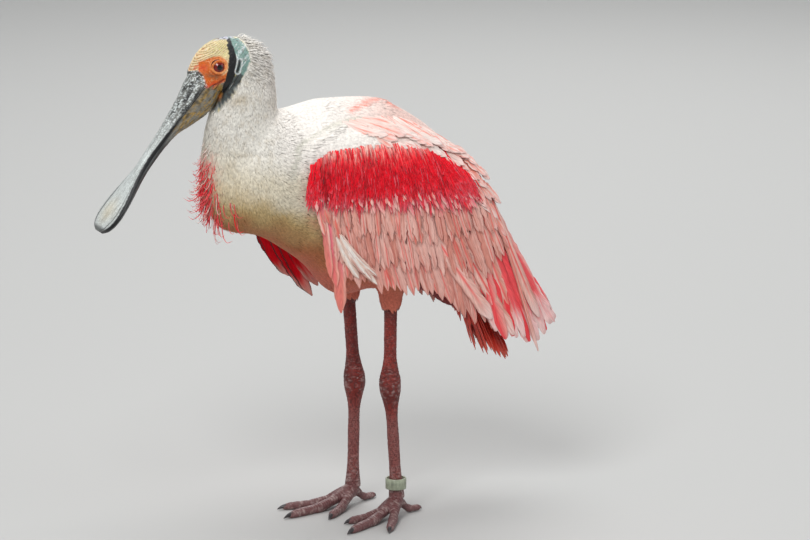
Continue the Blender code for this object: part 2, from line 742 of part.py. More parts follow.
def shank(side):
    """The bare tibia and tarsus, parted at the swollen hock by the clearance."""
    hip, hock, ankle = leg_path(side)
    skin = material("leg", LEG_RED, 0.5)
    upper, lower = np.linspace(0, 1, 8), np.linspace(0, 1, 12)[1:]
    path = np.concatenate(
        [hip + (hock - hip) * upper[:, None], hock + (ankle - hock) * lower[:, None]]
    )
    above = smooth((0, 0.55, 0.8, 1), (6.6, 6.2, 8.4, 10.6), upper)[:, 0]
    below = smooth((0, 0.1, 0.22, 0.5, 0.82, 1), (10.6, 9.6, 6.8, 5.8, 6.0, 8.0), lower)[:, 0]
    rings = tube_rings(path, np.concatenate([above, below]) * MM, 12)
    joint = len(upper) - 1
    tarsus = closed_rings("tarsus_" + SIDES[side], rings[joint:], skin)
    thigh_end = rings[: joint + 1].copy()
    thigh_end[joint] += (hip - hock) / np.linalg.norm(hip - hock) * GAP
    tibia = closed_rings("tibia_" + SIDES[side], thigh_end, skin)
    return tibia, tarsus


def thigh(side):
    """The feathered thigh that hangs below the belly round the top of the leg."""
    hip, hock, _ = leg_path(side)
    top = hip + np.array([0, 0, 36 * MM])
    stretch = np.linspace(0, 1, 8)
    path = top + (hip + (hock - hip) * 0.2 - top) * stretch[:, None]
    wide = smooth((0, 0.3, 0.7, 1), (25, 26, 17, 10), stretch)[:, 0] * MM
    rings = tube_rings(path, wide, 14)
    return closed_rings("thigh_" + SIDES[side], rings, material("down", WHITE))


def toe_path(side, heading, length):
    """A toe's line from the ankle, down to the floor and along it, with its claw."""
    ankle = leg_path(side)[2] * np.array([1, 1, 0])
    turn = math.radians(heading)
    way = np.array([-math.cos(turn), math.sin(turn), 0])
    path = ankle + way * (np.array(TOE_REACH) * length * MM)[:, None]
    path[:, 2] = np.array(TOE_HEIGHT) * MM
    return path


def web(side, first, second):
    """The small web between two front toes, hollow along its free edge."""
    ends = []
    for heading, length, _ in (first, second):
        path = toe_path(side, heading, length)
        ends.append(np.array([np.interp(WEB_REACH, TOE_REACH, axis) for axis in path.T]))
    ankle = leg_path(side)[2]
    notch = 0.25 * ankle + 0.375 * (ends[0] + ends[1])
    top = np.array([ankle * np.array([1, 1, 0.7]), ends[0], notch, ends[1]])
    bottom = top - np.array([0, 0, WEB_THICKNESS * MM])
    faces = [(0, 1, 2), (0, 2, 3), (4, 6, 5), (4, 7, 6)]
    faces += [(k, (k + 1) % 4, (k + 1) % 4 + 4, k + 4) for k in range(4)]
    return mesh_object("web", np.concatenate([top, bottom]), faces)


def foot(side):
    """Four toes and the webs between the front ones, flat where they stand on the floor."""
    skin = material("leg", LEG_RED, 0.5)
    bodies = []
    for heading, length, thick in TOES[side]:
        rings = tube_rings(toe_path(side, heading, length), np.array(TOE_SWELL) * thick * MM, 7)
        bodies.append(closed_rings("toe", rings, skin))
    inner, middle, outer, _ = TOES[side]
    bodies += [web(side, inner, middle), web(side, middle, outer)]
    made = bodies[0]
    made.name = "foot_" + SIDES[side]
    combine(made, bodies[1:], "UNION")
    corners = np.array([(-1, -1), (1, -1), (1, 1), (-1, 1)]) * 200 * MM
    floor = np.array([[(x, y, z * MM) for x, y in corners] for z in (-100, 0)])
    return combine(made, [closed_tube("floor", floor)], "DIFFERENCE")


def leg_band():
    """The loose ring round the left tarsus, just above the foot."""
    _, hock, ankle = leg_path(LEFT)
    middle = ankle + (hock - ankle) * BAND_PLACE
    low, high = -BAND_HEIGHT * MM / 2, BAND_HEIGHT * MM / 2
    inner, outer = BAND_INNER * MM, BAND_OUTER * MM
    around = 26
    turn = np.linspace(0, 2 * math.pi, around, endpoint=False)
    points, faces = [], []
    for radius, level in ((outer, low), (outer, high), (inner, high), (inner, low)):
        for angle in turn:
            points.append(middle + [radius * math.cos(angle), radius * math.sin(angle), level])
    for row in range(4):
        for k in range(around):
            a, b = row * around + k, row * around + (k + 1) % around
            c = ((row + 1) % 4) * around + (k + 1) % around
            d = ((row + 1) % 4) * around + k
            faces.append((a, b, c, d))
    return mesh_object("leg_band", points, faces, material("band", BAND_GREEN, 0.4))


def move_origin():
    """Puts the origin at the middle of the bird's box, on the floor."""
    low, high = np.full(3, np.inf), np.full(3, -np.inf)
    items = list(parts_collection().objects)
    for item in items:
        corners = np.array([v.co for v in item.data.vertices])
        low, high = np.minimum(low, corners.min(0)), np.maximum(high, corners.max(0))
    shift = -np.array([(low[0] + high[0]) / 2, (low[1] + high[1]) / 2, low[2]])
    for item in items:
        item.location = shift
    print("origin moved by", shift)


def main():
    """Builds every part, cutting each back from the ones it meets."""
    for old in list(bpy.data.objects):
        bpy.data.objects.remove(old)
    plumage = material("feather_white", WHITE)
    torso = feathered_body("torso", TORSO, TORSO_ROWS, TORSO_AROUND, BREAST_PLUMES, plumage)
    neck = feathered_body("neck", NECK, NECK_ROWS, NECK_AROUND, NECK_PLUMES, plumage)
    eyes = [eye(LEFT), eye(RIGHT)]
    skull = head(eyes)
    cut_clear(neck, [torso, skull])
    upper = bill_half("bill_upper", True)
    combine(upper, [nostril(LEFT), nostril(RIGHT)], "DIFFERENCE")
    cut_clear(upper, [skull])
    cut_clear(bill_half("bill_lower", False), [skull, neck])
    rear = cut_clear(tail(), [torso])
    for side in SIDES:
        folded = cut_clear(wing(side), [torso, neck, rear])
        cover = cut_clear(thigh(side), [torso, folded])
        tibia, tarsus = shank(side)
        cut_clear(tibia, [cover, torso])
        cut_clear(foot(side), [tarsus])
    leg_band()
    for part in parts_collection().objects:
        without_slivers(part)
    move_origin()


main()
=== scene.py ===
import json
import math

import bmesh
import bpy
import numpy as np
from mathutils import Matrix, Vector

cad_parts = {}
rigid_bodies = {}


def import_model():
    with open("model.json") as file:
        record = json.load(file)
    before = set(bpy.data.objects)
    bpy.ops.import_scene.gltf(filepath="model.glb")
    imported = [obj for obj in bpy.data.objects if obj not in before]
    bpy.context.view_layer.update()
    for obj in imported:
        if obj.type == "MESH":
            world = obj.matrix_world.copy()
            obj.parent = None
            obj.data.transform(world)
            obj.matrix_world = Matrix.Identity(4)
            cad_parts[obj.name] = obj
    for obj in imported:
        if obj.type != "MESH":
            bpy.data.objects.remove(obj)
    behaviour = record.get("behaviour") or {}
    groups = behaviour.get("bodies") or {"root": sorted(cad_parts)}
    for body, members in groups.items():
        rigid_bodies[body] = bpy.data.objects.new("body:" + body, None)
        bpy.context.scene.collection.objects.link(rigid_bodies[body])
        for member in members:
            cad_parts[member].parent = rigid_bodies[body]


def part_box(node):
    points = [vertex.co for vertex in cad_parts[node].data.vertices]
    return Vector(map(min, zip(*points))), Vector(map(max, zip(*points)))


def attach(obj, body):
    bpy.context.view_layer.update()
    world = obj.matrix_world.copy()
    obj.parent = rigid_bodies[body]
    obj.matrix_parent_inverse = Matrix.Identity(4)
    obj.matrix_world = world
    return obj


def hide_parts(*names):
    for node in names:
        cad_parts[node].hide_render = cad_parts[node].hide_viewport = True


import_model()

MM = 0.001
LEFT, RIGHT = -1, 1
SIDES = {LEFT: "left", RIGHT: "right"}

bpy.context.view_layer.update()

# Driving sizes in millimetres, as in the frame.
BILL_PITCH = math.radians(52.6)
BILL_BASE = (-174.0, 428.0)
EYE_RADIUS = 7.6
EYE_CENTRE = (-161.7, 13.6, 446.7)
LEG_SPREAD = 28.0
TIBIA_TOP = 220.0
HOCK_HEIGHT = {LEFT: 130.0, RIGHT: 123.0}
ANKLE_HEIGHT = 18.0
TIBIA_X = {LEFT: 7.0, RIGHT: -15.0}
HOCK_X = {LEFT: 6.0, RIGHT: -8.0}
ANKLE_X = {LEFT: 13.0, RIGHT: -10.0}
WING_MOST_WIDTH, WING_WIDEST_X = 69.5, 5.0
COAT_DEPTH = 2.4

TORSO = (
    (-171, 331, 4, 4, 4), (-168, 331, 17, 17, 17), (-157, 331, 35, 30, 33),
    (-140, 328, 54, 43, 46), (-110, 326, 72, 49, 55), (-78, 321, 86, 64, 60),
    (-52, 318, 91, 81, 62), (-28, 313, 97, 96, 62), (20, 296, 86, 91, 58),
    (60, 267, 63, 62, 47), (88, 234, 40, 43, 34), (103, 209, 26, 29, 24),
    (108, 200, 17, 17, 16), (110, 196, 5, 5, 5),
)
NECK = (
    (-115, 289, 16, 16, 16), (-119, 300, 36, 30, 30), (-124, 312, 43, 40, 37),
    (-127, 326, 46, 42, 38), (-132, 350, 43, 40, 36), (-134, 378, 37, 37, 31),
    (-132, 400, 32, 35, 27), (-129, 420, 28, 32, 24), (-129, 438, 24, 26, 20),
    (-131, 452, 16, 18, 14), (-132, 458, 5, 6, 5),
)
HEAD = (
    (-178, 423, 9, 10, 10), (-174, 428, 14.6, 16, 14.5), (-169, 434.5, 18.2, 21, 16.5),
    (-161, 441, 23.0, 25, 19), (-150, 445, 25.5, 27, 20.5), (-138, 444, 26, 26, 20),
    (-127, 441, 23, 22, 18), (-118, 435, 17, 15, 13), (-113, 430, 4, 4, 4),
)
BILL = (
    (-6, 15.0, 15.0, 20.0), (8, 14.0, 13.0, 23.0), (22, 11.6, 10.4, 21.0),
    (36, 9.8, 8.8, 15.5), (50, 8.8, 7.6, 9.0), (65, 7.8, 6.8, 6.4), (85, 7.6, 6.0, 5.0),
    (100, 9.6, 5.2, 4.4), (113, 14.6, 4.6, 4.0), (126, 20.4, 4.1, 3.6),
    (138, 24.4, 3.8, 3.4), (149, 25.4, 3.7, 3.3), (158, 21.8, 3.5, 3.1),
    (164, 14.6, 3.0, 2.7), (167, 7.0, 2.2, 2.0),
)
BILL_PARTING = 0.21
BACK_LINE = (
    (-140, 372), (-100, 397), (-50, 407), (0, 406), (25, 397), (50, 382),
    (75, 364), (100, 340), (120, 305), (140, 264), (160, 226), (192, 170),
)
TAIL_CORE = ((92, 232, 12, 17), (96, 208, 12, 21), (103, 186, 5, 22), (108, 172, 1.6, 20))
TOES = {
    LEFT: ((-14, 62, 4.6), (-36, 88, 5.2), (-62, 70, 4.6), (158, 33, 3.8)),
    RIGHT: ((-48, 66, 4.6), (-20, 88, 5.2), (4, 76, 4.6), (150, 36, 3.8)),
}
TOE_REACH = (0.0, 0.16, 0.34, 0.5, 0.66, 0.82, 0.92, 1.0)
TOE_HEIGHT = (15.0, 12.5, 7.6, 4.6, 3.9, 3.6, 2.6, 1.0)
TOE_SWELL = (1.5, 1.25, 0.95, 1.02, 0.86, 0.84, 0.5, 0.22)

# Colours as red, green and blue in 0..255 as seen, made linear by ink().
INKS = {
    "mantle": (236, 230, 223), "neck": (234, 230, 221), "cream": (224, 214, 192),
    "buff": (202, 174, 120), "olive": (160, 134, 84), "belly": (180, 114, 72),
    "rust": (200, 108, 88), "maroon": (118, 18, 16), "carmine": (240, 3, 34),
    "carmine_dark": (138, 0, 14), "rose": (232, 110, 124), "blush": (236, 188, 176),
    "ash_pink": (214, 138, 122), "shade_pink": (180, 86, 76), "salmon": (238, 118, 96),
    "coral": (236, 84, 88), "tail": (232, 66, 46), "tip_white": (240, 214, 210),
    "crown": (212, 198, 148), "crown_green": (186, 178, 116), "ivory": (230, 208, 160),
    "orange": (206, 96, 12), "orange_red": (212, 62, 22), "lid": (232, 150, 90),
    "brown": (136, 80, 48), "black": (16, 16, 20), "slate": (72, 80, 80),
    "teal": (124, 154, 146), "lilac": (190, 192, 206), "ochre": (166, 134, 68),
    "horn_pale": (218, 224, 222), "horn_mid": (124, 125, 120), "horn_dark": (44, 44, 42),
    "leg": (140, 38, 28), "leg_dark": (86, 20, 16), "scute_pale_and_glint": (168, 146, 142),
    "tarsus": (132, 72, 68), "foot": (112, 74, 74), "iris": (132, 14, 10),
    "claw": (44, 40, 42), "band": (146, 152, 132), "shade": (196, 194, 180),
    "downy": (228, 198, 184),
}


def locks(line, wide, ridge, across, tint):
    """Thin tapering closed strands along many middle lines: three-cornered, ending in a point.

    Line (count, rows, 3) is the middle line, wide (count, rows) its full width, across and
    ridge (count or 1, rows or 1, 3) the ways of its width and of its raised back.
    """
    count, rows = line.shape[:2]
    side = across * (wide / 2)[..., None]
    back = ridge * (wide * 0.3)[..., None]
    rings = np.stack([line - side, line + side, line + back], 2)[:, :-1].reshape(count, -1, 3)
    points = np.concatenate([rings, line[:, -1:]], 1)
    each = points.shape[1]
    ring = np.arange(3 * (rows - 1)).reshape(rows - 1, 3)
    after = np.roll(ring, -1, axis=1)
    quads = np.stack([ring[:-1], after[:-1], after[1:], ring[1:]], -1).reshape(-1, 4)
    ends = np.concatenate(
        [ring[:1, ::-1], np.stack([ring[-1], after[-1], np.full(3, each - 1)], -1)]
    )
    start = (np.arange(count) * each)[:, None, None]
    faces = [(quads[None] + start).reshape(-1, 4), (ends[None] + start).reshape(-1, 3)]
    shade = np.concatenate([np.repeat(tint[:, :-1], 3, axis=1), tint[:, -1:]], 1)
    points, faces = outward(points.reshape(-1, 3), faces)
    return points, faces, shade.reshape(-1, 3)


def root_patches(spots, rows):
    """Baking map of locks: each is a small patch at its root's place on an unwrap."""
    share = np.repeat(np.linspace(-0.5, 0.5, rows)[:-1], 3)
    beside = np.tile([-0.5, 0.5, 0.0], rows - 1)
    patch = 0.003 * np.stack([np.append(beside, 0), np.append(share, 0.5)], -1)
    return np.clip(spots[:, None] + patch, 0, 1).reshape(-1, 2)


def ink(name):
    """The linear colour of a named ink."""
    seen = np.array(INKS[name], float) / 255
    return np.where(seen <= 0.04045, seen / 12.92, ((seen + 0.055) / 1.055) ** 2.4)


def ramp(value, low, high):
    """0 below low, 1 above high and a smooth step between; low may be the larger."""
    t = np.clip((value - low) / (high - low), 0, 1)
    return t * t * (3 - 2 * t)


def mix(first, second, share):
    """Between two colours or arrays of colours, by a share per point."""
    share = np.asarray(share)[..., None]
    return first * (1 - share) + second * share


def smooth(knots, values, at):
    """Cubic curve through the values at the knots, with slopes taken from the neighbours."""
    knots = np.asarray(knots, float)
    values = np.asarray(values, float).reshape(len(knots), -1)
    at = np.atleast_1d(np.asarray(at, float))
    slope = np.gradient(values, knots, axis=0)
    low = np.clip(np.searchsorted(knots, at, side="right") - 1, 0, len(knots) - 2)
    step = (knots[low + 1] - knots[low])[:, None]
    t = (at - knots[low])[:, None] / step
    square, cube = t * t, t * t * t
    return (
        (2 * cube - 3 * square + 1) * values[low]
        + (cube - 2 * square + t) * step * slope[low]
        + (3 * square - 2 * cube) * values[low + 1]
        + (cube - square) * step * slope[low + 1]
    )


def unit(vectors):
    """Vectors of length one."""
    return vectors / np.maximum(np.linalg.norm(vectors, axis=-1, keepdims=True), 1e-9)


def noise(points, size, seed=0):
    """Soft lumps between -1 and 1: random numbers on a cubic lattice, blended smoothly."""
    table = np.random.default_rng(seed).uniform(-1, 1, (32, 32, 32))
    place = np.asarray(points, float) / size
    cell = np.floor(place).astype(int)
    part = place - cell
    part = part * part * (3 - 2 * part)
    low, high = cell % 32, (cell + 1) % 32
    total = 0
    for a in (0, 1):
        for b in (0, 1):
            for c in (0, 1):
                corner = table[
                    (high if a else low)[..., 0],
                    (high if b else low)[..., 1],
                    (high if c else low)[..., 2],
                ]
                weight = np.abs(1 - a - part[..., 0]) * np.abs(1 - b - part[..., 1])
                total = total + corner * weight * np.abs(1 - c - part[..., 2])
    return total


def cells(across, along, seed=0):
    """Jittered cells on a plane: distance to the edge of the cell and a number per cell."""
    draw = np.random.default_rng(seed).uniform(-0.3, 0.3, (64, 64, 2))
    pick = np.random.default_rng(seed + 1).uniform(0, 1, (64, 64))
    row = np.floor(along)
    first = np.full(across.shape, 9.0)
    second, chosen = first.copy(), np.zeros(across.shape)
    for down in (-1, 0, 1):
        for over in (-1, 0, 1):
            line = row + down
            column = np.floor(across - 0.5 * (line % 2)) + over
            spot = draw[line.astype(int) % 64, column.astype(int) % 64]
            gap = np.hypot(
                across - (column + 0.5 + 0.5 * (line % 2) + spot[..., 0]),
                along - (line + 0.5 + spot[..., 1]),
            )
            nearer = gap < first
            second = np.where(nearer, first, np.minimum(second, gap))
            chosen = np.where(nearer, pick[line.astype(int) % 64, column.astype(int) % 64], chosen)
            first = np.where(nearer, gap, first)
    return second - first, chosen


EYE_BOX = np.array([list(corner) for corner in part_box("eye_left")])
SHIFT = EYE_BOX.mean(0) / MM - np.array([EYE_CENTRE[0], -EYE_CENTRE[1], EYE_CENTRE[2]])


def chart(points):
    """The bird laid out on a flat sheet as seen from its side, alike for both sides.

    Right and down across the sheet in steps of 0.95 mm at the bird's middle. It is seen from
    6.5 m away, 22 degrees round to the front and 12.5 degrees from above; the factors of x, y
    and z are that view's direction cosines.
    """
    x, y, z = points[..., 0], np.abs(points[..., 1]), points[..., 2] - 250
    size = 6500 / 0.95 / (6500 + 0.3657 * x - 0.9052 * y - 0.2164 * z)
    right = 373 + size * (0.9272 * x + 0.3746 * y)
    down = 255.3 - size * (0.0811 * x - 0.2007 * y + 0.9763 * z)
    return right, down


def near_line(right, down, line):
    """Distance on the chart to a broken line, and the share of the way along it."""
    line = np.array(line, float)
    best, along = np.full(np.shape(right), 1e9), np.zeros(np.shape(right))
    lengths = np.hypot(*np.diff(line, axis=0).T)
    for k in range(len(line) - 1):
        step = line[k + 1] - line[k]
        t = np.clip(
            ((right - line[k, 0]) * step[0] + (down - line[k, 1]) * step[1]) / (step @ step), 0, 1
        )
        gap = np.hypot(right - line[k, 0] - t * step[0], down - line[k, 1] - t * step[1])
        along = np.where(gap < best, (lengths[:k].sum() + t * lengths[k]) / lengths.sum(), along)
        best = np.minimum(best, gap)
    return best, along


def inside(right, down, outline, soft):
    """1 inside a closed outline on the chart, 0 outside, over a soft edge."""
    outline = np.array(outline, float)
    within = np.zeros(np.shape(right), bool)
    for (x0, y0), (x1, y1) in zip(outline, np.roll(outline, -1, axis=0)):
        crosses = (y0 > down) != (y1 > down)
        at = x0 + (down - y0) * (x1 - x0) / (y1 - y0 if y1 != y0 else 1e-9)
        within ^= crosses & (right < at)
    gap, _ = near_line(right, down, np.concatenate([outline, outline[:1]]))
    return ramp(np.where(within, gap, -gap), -soft, soft)


def blob(right, down, centre, sizes, turn=0.0):
    """A soft round spot on the chart: 1 at its centre and near 0 at its rim."""
    c, s = math.cos(math.radians(turn)), math.sin(math.radians(turn))
    a, b = right - centre[0], down - centre[1]
    along, across = (a * c + b * s) / sizes[0], (b * c - a * s) / sizes[1]
    return np.exp(-(along**2 + across**2) * 1.5)


# Materials.


def node_of(tree, kind, inputs=(), **settings):
    """A node with its settings made and its inputs set or linked."""
    made = tree.nodes.new("ShaderNode" + kind)
    for key, value in settings.items():
        setattr(made, key, value)
    for key, value in dict(inputs).items():
        if isinstance(value, bpy.types.NodeSocket):
            tree.links.new(value, made.inputs[key])
        else:
            made.inputs[key].default_value = value
    return made


def finish(name, roughness, sheen=0.0, coat=0.0, specular=0.16, subsurface=0.0):
    """A named material with its shader's constant values set."""
    made = bpy.data.materials.new(name)
    made.use_nodes = True
    shader = made.node_tree.nodes["Principled BSDF"]
    shader.inputs["Roughness"].default_value = roughness
    shader.inputs["Sheen Weight"].default_value = sheen
    shader.inputs["Sheen Roughness"].default_value = 0.4
    shader.inputs["Coat Weight"].default_value = coat
    shader.inputs["Coat Roughness"].default_value = 0.05
    shader.inputs["Specular IOR Level"].default_value = specular
    if subsurface:
        shader.inputs["Subsurface Weight"].default_value = subsurface
        shader.inputs["Subsurface Scale"].default_value = 0.002
    return made, made.node_tree, shader


def tinted(tree, lighter, darker, grain, low=0.35, high=0.65):
    """The piece's own colours, shaded between a darker and a lighter factor by a grain."""
    own = node_of(tree, "Attribute", attribute_name="tint")
    spread = node_of(tree, "MapRange", {"Value": grain, "From Min": low, "From Max": high})
    spread.inputs["To Min"].default_value = darker
    spread.inputs["To Max"].default_value = lighter
    return node_of(
        tree, "VectorMath", {0: own.outputs["Color"], 1: spread.outputs["Result"]},
        operation="MULTIPLY",
    ).outputs["Vector"]


def vane_finish(name, sheen=0.2, strength=0.3):
    """Feather vane: loose barbs run steeply off the shaft, as streaks of colour and as bump."""
    made, tree, shader = finish(name, 0.62, sheen=sheen, specular=0.25)
    place = node_of(tree, "UVMap", uv_map="Barbs")
    barbs = node_of(
        tree, "Mapping", {"Vector": place.outputs["UV"], "Scale": (22.0, 0.9, 1.0)}
    )
    fine = node_of(
        tree, "TexNoise", {"Vector": barbs.outputs["Vector"], "Scale": 1.0, "Detail": 3.0}
    )
    broad = node_of(
        tree, "Mapping", {"Vector": place.outputs["UV"], "Scale": (7.0, 0.6, 1.0)}
    )
    tress = node_of(
        tree, "TexNoise", {"Vector": broad.outputs["Vector"], "Scale": 1.0, "Detail": 2.0}
    )
    both = node_of(
        tree, "Math", {0: fine.outputs["Fac"], 1: tress.outputs["Fac"]}, operation="ADD"
    )
    half = node_of(tree, "Math", {0: both.outputs["Value"], 1: 0.5}, operation="MULTIPLY")
    tree.links.new(tinted(tree, 1.14, 0.78, half.outputs["Value"]), shader.inputs["Base Color"])
    bump = node_of(
        tree, "Bump", {"Height": half.outputs["Value"], "Strength": strength, "Distance": 0.0005}
    )
    tree.links.new(bump.outputs["Normal"], shader.inputs["Normal"])
    return made


def coat_finish(name, sheen=0.5):
    """Small body feathers: their own colours with a faint uneven grain."""
    made, tree, shader = finish(name, 0.75, sheen=sheen, specular=0.25)
    place = node_of(tree, "TexCoord")
    grain = node_of(
        tree, "TexNoise", {"Vector": place.outputs["Object"], "Scale": 420.0, "Detail": 2.0}
    )
    tree.links.new(
        tinted(tree, 1.1, 0.86, grain.outputs["Fac"]), shader.inputs["Base Color"]
    )
    return made


def skin_finish(name, roughness, scale, strength, coat=0.0, subsurface=0.0):
    """Bare skin: fine creases and pores over its own colours."""
    made, tree, shader = finish(name, roughness, coat=coat, specular=0.4, subsurface=subsurface)
    place = node_of(tree, "TexCoord")
    pores = node_of(
        tree, "TexVoronoi", {"Vector": place.outputs["Object"], "Scale": scale},
        feature="DISTANCE_TO_EDGE",
    )
    grain = node_of(
        tree, "TexNoise", {"Vector": place.outputs["Object"], "Scale": scale * 0.8, "Detail": 5.0}
    )
    tree.links.new(
        tinted(tree, 1.12, 0.82, grain.outputs["Fac"]), shader.inputs["Base Color"]
    )
    height = node_of(
        tree, "Math", {0: pores.outputs["Distance"], 1: grain.outputs["Fac"]}, operation="ADD"
    )
    bump = node_of(
        tree, "Bump", {"Height": height.outputs["Value"], "Strength": strength, "Distance": 0.0006}
    )
    tree.links.new(bump.outputs["Normal"], shader.inputs["Normal"])
    uneven = node_of(
        tree, "MapRange",
        {"Value": grain.outputs["Fac"], "To Min": roughness - 0.1, "To Max": roughness + 0.12},
    )
    tree.links.new(uneven.outputs["Result"], shader.inputs["Roughness"])
    return made


# Meshes.


def shells(rings):
    """Closed shells through rings of points: one shell per first index, with flat ends."""
    count, rows, around = rings.shape[:3]
    index = np.arange(count * rows * around).reshape(count, rows, around)
    after = np.roll(index, -1, axis=2)
    sides = np.stack([index[:, :-1], after[:, :-1], after[:, 1:], index[:, 1:]], -1).reshape(-1, 4)
    ends = np.concatenate([index[:, 0, ::-1], index[:, -1]])
    return outward(rings.reshape(-1, 3), [sides, ends])


def outward(points, faces):
    """The same faces, turned round if they enclose a negative volume."""
    volume = 0.0
    middle = points.mean(0)
    for group in faces:
        corners = points[group] - middle
        for k in range(1, group.shape[1] - 1):
            volume += np.einsum(
                "ij,ij->i", corners[:, 0], np.cross(corners[:, k], corners[:, k + 1])
            ).sum()
    return points, faces if volume > 0 else [group[:, ::-1] for group in faces]


def put_mesh(name, points, faces):
    """A mesh from points and arrays of faces, each array with its own number of corners."""
    mesh = bpy.data.meshes.new(name)
    corners = np.concatenate([group.ravel() for group in faces]).astype(np.int32)
    sizes = np.concatenate([np.full(len(group), group.shape[1]) for group in faces])
    mesh.vertices.add(len(points))
    mesh.vertices.foreach_set("co", ((points + SHIFT) * MM).astype(np.float32).ravel())
    mesh.loops.add(len(corners))
    mesh.loops.foreach_set("vertex_index", corners)
    mesh.polygons.add(len(sizes))
    starts = np.append(0, np.cumsum(sizes)[:-1]).astype(np.int32)
    mesh.polygons.foreach_set("loop_start", starts)
    mesh.polygons.foreach_set("use_smooth", np.ones(len(sizes), bool))
    mesh.update(calc_edges=True)
    return mesh, corners


def paint(mesh, tint):
    """Stores a colour per point in the attribute that the materials read."""
    layer = mesh.attributes.new("tint", "FLOAT_COLOR", "POINT")
    shade = np.concatenate([np.clip(tint, 0, 1), np.ones((len(tint), 1))], 1)
    layer.data.foreach_set("color", shade.astype(np.float32).ravel())


def soften(mesh, guide, share):
    """Turns the shading of the outer side towards a guide direction, as on close soft barbs."""
    own = np.empty(len(mesh.vertices) * 3, np.float32)
    mesh.vertices.foreach_get("normal", own)
    own = own.reshape(-1, 3)
    outer = np.einsum("ij,ij->i", own, guide) > -0.15
    blend = unit(own * (1 - share) + guide * share)
    mesh.normals_split_custom_set_from_vertices(np.where(outer[:, None], blend, own))


def piece(name, points, faces, looks, nodes=(), tint=None, maps=None, guide=None, soft=0.7):
    """One finished piece, riding on the bird, with its colours and its named UV maps."""
    mesh, corners = put_mesh(name, points, faces)
    for key, pairs in (maps or {}).items():
        layer = mesh.uv_layers.new(name=key)
        layer.data.foreach_set("uv", pairs[corners].astype(np.float32).ravel())
    if tint is not None:
        paint(mesh, tint)
    if guide is not None:
        soften(mesh, guide, soft)
    mesh.materials.append(looks)
    made = bpy.data.objects.new(name, mesh)
    bpy.context.scene.collection.objects.link(made)
    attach(made, "root")
    if nodes:
        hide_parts(*nodes)
    return made


def joined(parts):
    """Several (points, faces) lists as one; arrays of faces keep their own sizes."""
    points, faces, start = [], [], 0
    for some, groups in parts:
        points.append(some)
        faces += [group + start for group in groups]
        start += len(some)
    by_size = {}
    for group in faces:
        by_size.setdefault(group.shape[1], []).append(group)
    return np.concatenate(points), [np.concatenate(groups) for groups in by_size.values()]


# The skin.


def egg_rings(stations, along, around, inset=0.0):
    """Egg-shaped sections square to a smooth path in the middle plane, less an inset."""
    rows = np.array(stations, float)
    run = np.append(0, np.cumsum(np.hypot(*np.diff(rows[:, :2], axis=0).T)))
    at = np.linspace(0, run[-1], along)
    x, z, above, below, half = smooth(run, rows, at).T
    depth = np.interp(at / run[-1], np.linspace(0, 1, np.size(inset)), np.atleast_1d(inset))
    way = np.gradient(np.stack([x, z], 1), at, axis=0)
    way /= np.linalg.norm(way, axis=1)[:, None]
    turn = np.linspace(0, 2 * math.pi, around, endpoint=False)
    above, below, half = (np.maximum(size - depth, 1.5)[:, None] for size in (above, below, half))
    rise = np.cos(turn) * np.where(np.cos(turn) > 0, above, below)
    side = np.sin(turn) * half
    return np.stack(
        [x[:, None] - way[:, 1:] * rise, side, z[:, None] + way[:, :1] * rise], 2
    )


def tube_rings(path, radii, around):
    """Round sections along any path in space."""
    path = np.asarray(path, float)
    way = unit(np.gradient(path, axis=0))
    side = unit(np.cross(way, [0, 0.35, 1.0]))
    up = np.cross(side, way)
    turn = np.linspace(0, 2 * math.pi, around, endpoint=False)[None, :, None]
    wide = np.asarray(radii)[:, None, None]
    return path[:, None] + (np.cos(turn) * side[:, None] + np.sin(turn) * up[:, None]) * wide


def back_line(x):
    """Height of the line of the back above the floor at x."""
    knots, heights = zip(*BACK_LINE)
    return smooth(knots, heights, np.ravel(x))[:, 0].reshape(np.shape(x))


def wing_skin(x, drop):
    """Points on the left wing's outer surface, drop millimetres below the line of the back."""
    front = np.sqrt(np.clip(1 - ((x - WING_WIDEST_X) / 178) ** 2, 0.05, 1))
    rear = 1 - np.clip((x - WING_WIDEST_X) / 205, 0, 1) ** 1.8 * 0.86
    half = WING_MOST_WIDTH * np.where(x < WING_WIDEST_X, front, rear)
    shoulder = np.sqrt(np.clip(1 - (1 - np.clip(drop / 78, 0.002, 1)) ** 2, 0, 1))
    below = 1 - 0.16 * np.clip((drop - 78) / 110, 0, 1.5) ** 1.5
    return np.stack([x, -half * shoulder * below, back_line(x) - drop], -1)


def wing_surface(x, drop, lift=0.0):
    """The same surface, moved out by lift millimetres along its normal."""
    x, drop, lift = np.broadcast_arrays(
        np.asarray(x, float), np.asarray(drop, float), np.asarray(lift, float)
    )
    step = 0.5
    along = wing_skin(x + step, drop) - wing_skin(x - step, drop)
    down = wing_skin(x, drop + step) - wing_skin(x, drop - step)
    return wing_skin(x, drop) + unit(np.cross(down, along)) * lift[..., None]


def wing_bed(side):
    """The folded wing's flesh as a slab with rounded rims under the feathers."""
    x = np.linspace(-90, 88, 46)
    share = np.linspace(0, 1, 26)
    lowest = np.interp(x, (-92, -60, 90), (312, 300, 300))
    end = np.minimum(110, back_line(x) - lowest)
    drop = 18 + (end - 18)[:, None] * share
    rim = np.minimum(
        np.minimum(share, 1 - share)[None] * 5,
        np.minimum((x - x[0]), (x[-1] - x))[:, None] / 12,
    )
    rim = np.sqrt(np.clip(rim, 0.03, 1))
    grid = np.broadcast_to(x[:, None], drop.shape)
    outer = wing_surface(grid, drop, 5.2 * (rim - 1) - 0.8)
    inner = wing_surface(grid, drop, -5.2 * (rim + 1) - 0.8)
    rings = np.concatenate([outer, inner[:, ::-1]], axis=1)
    rings[..., 1] *= -side
    return rings


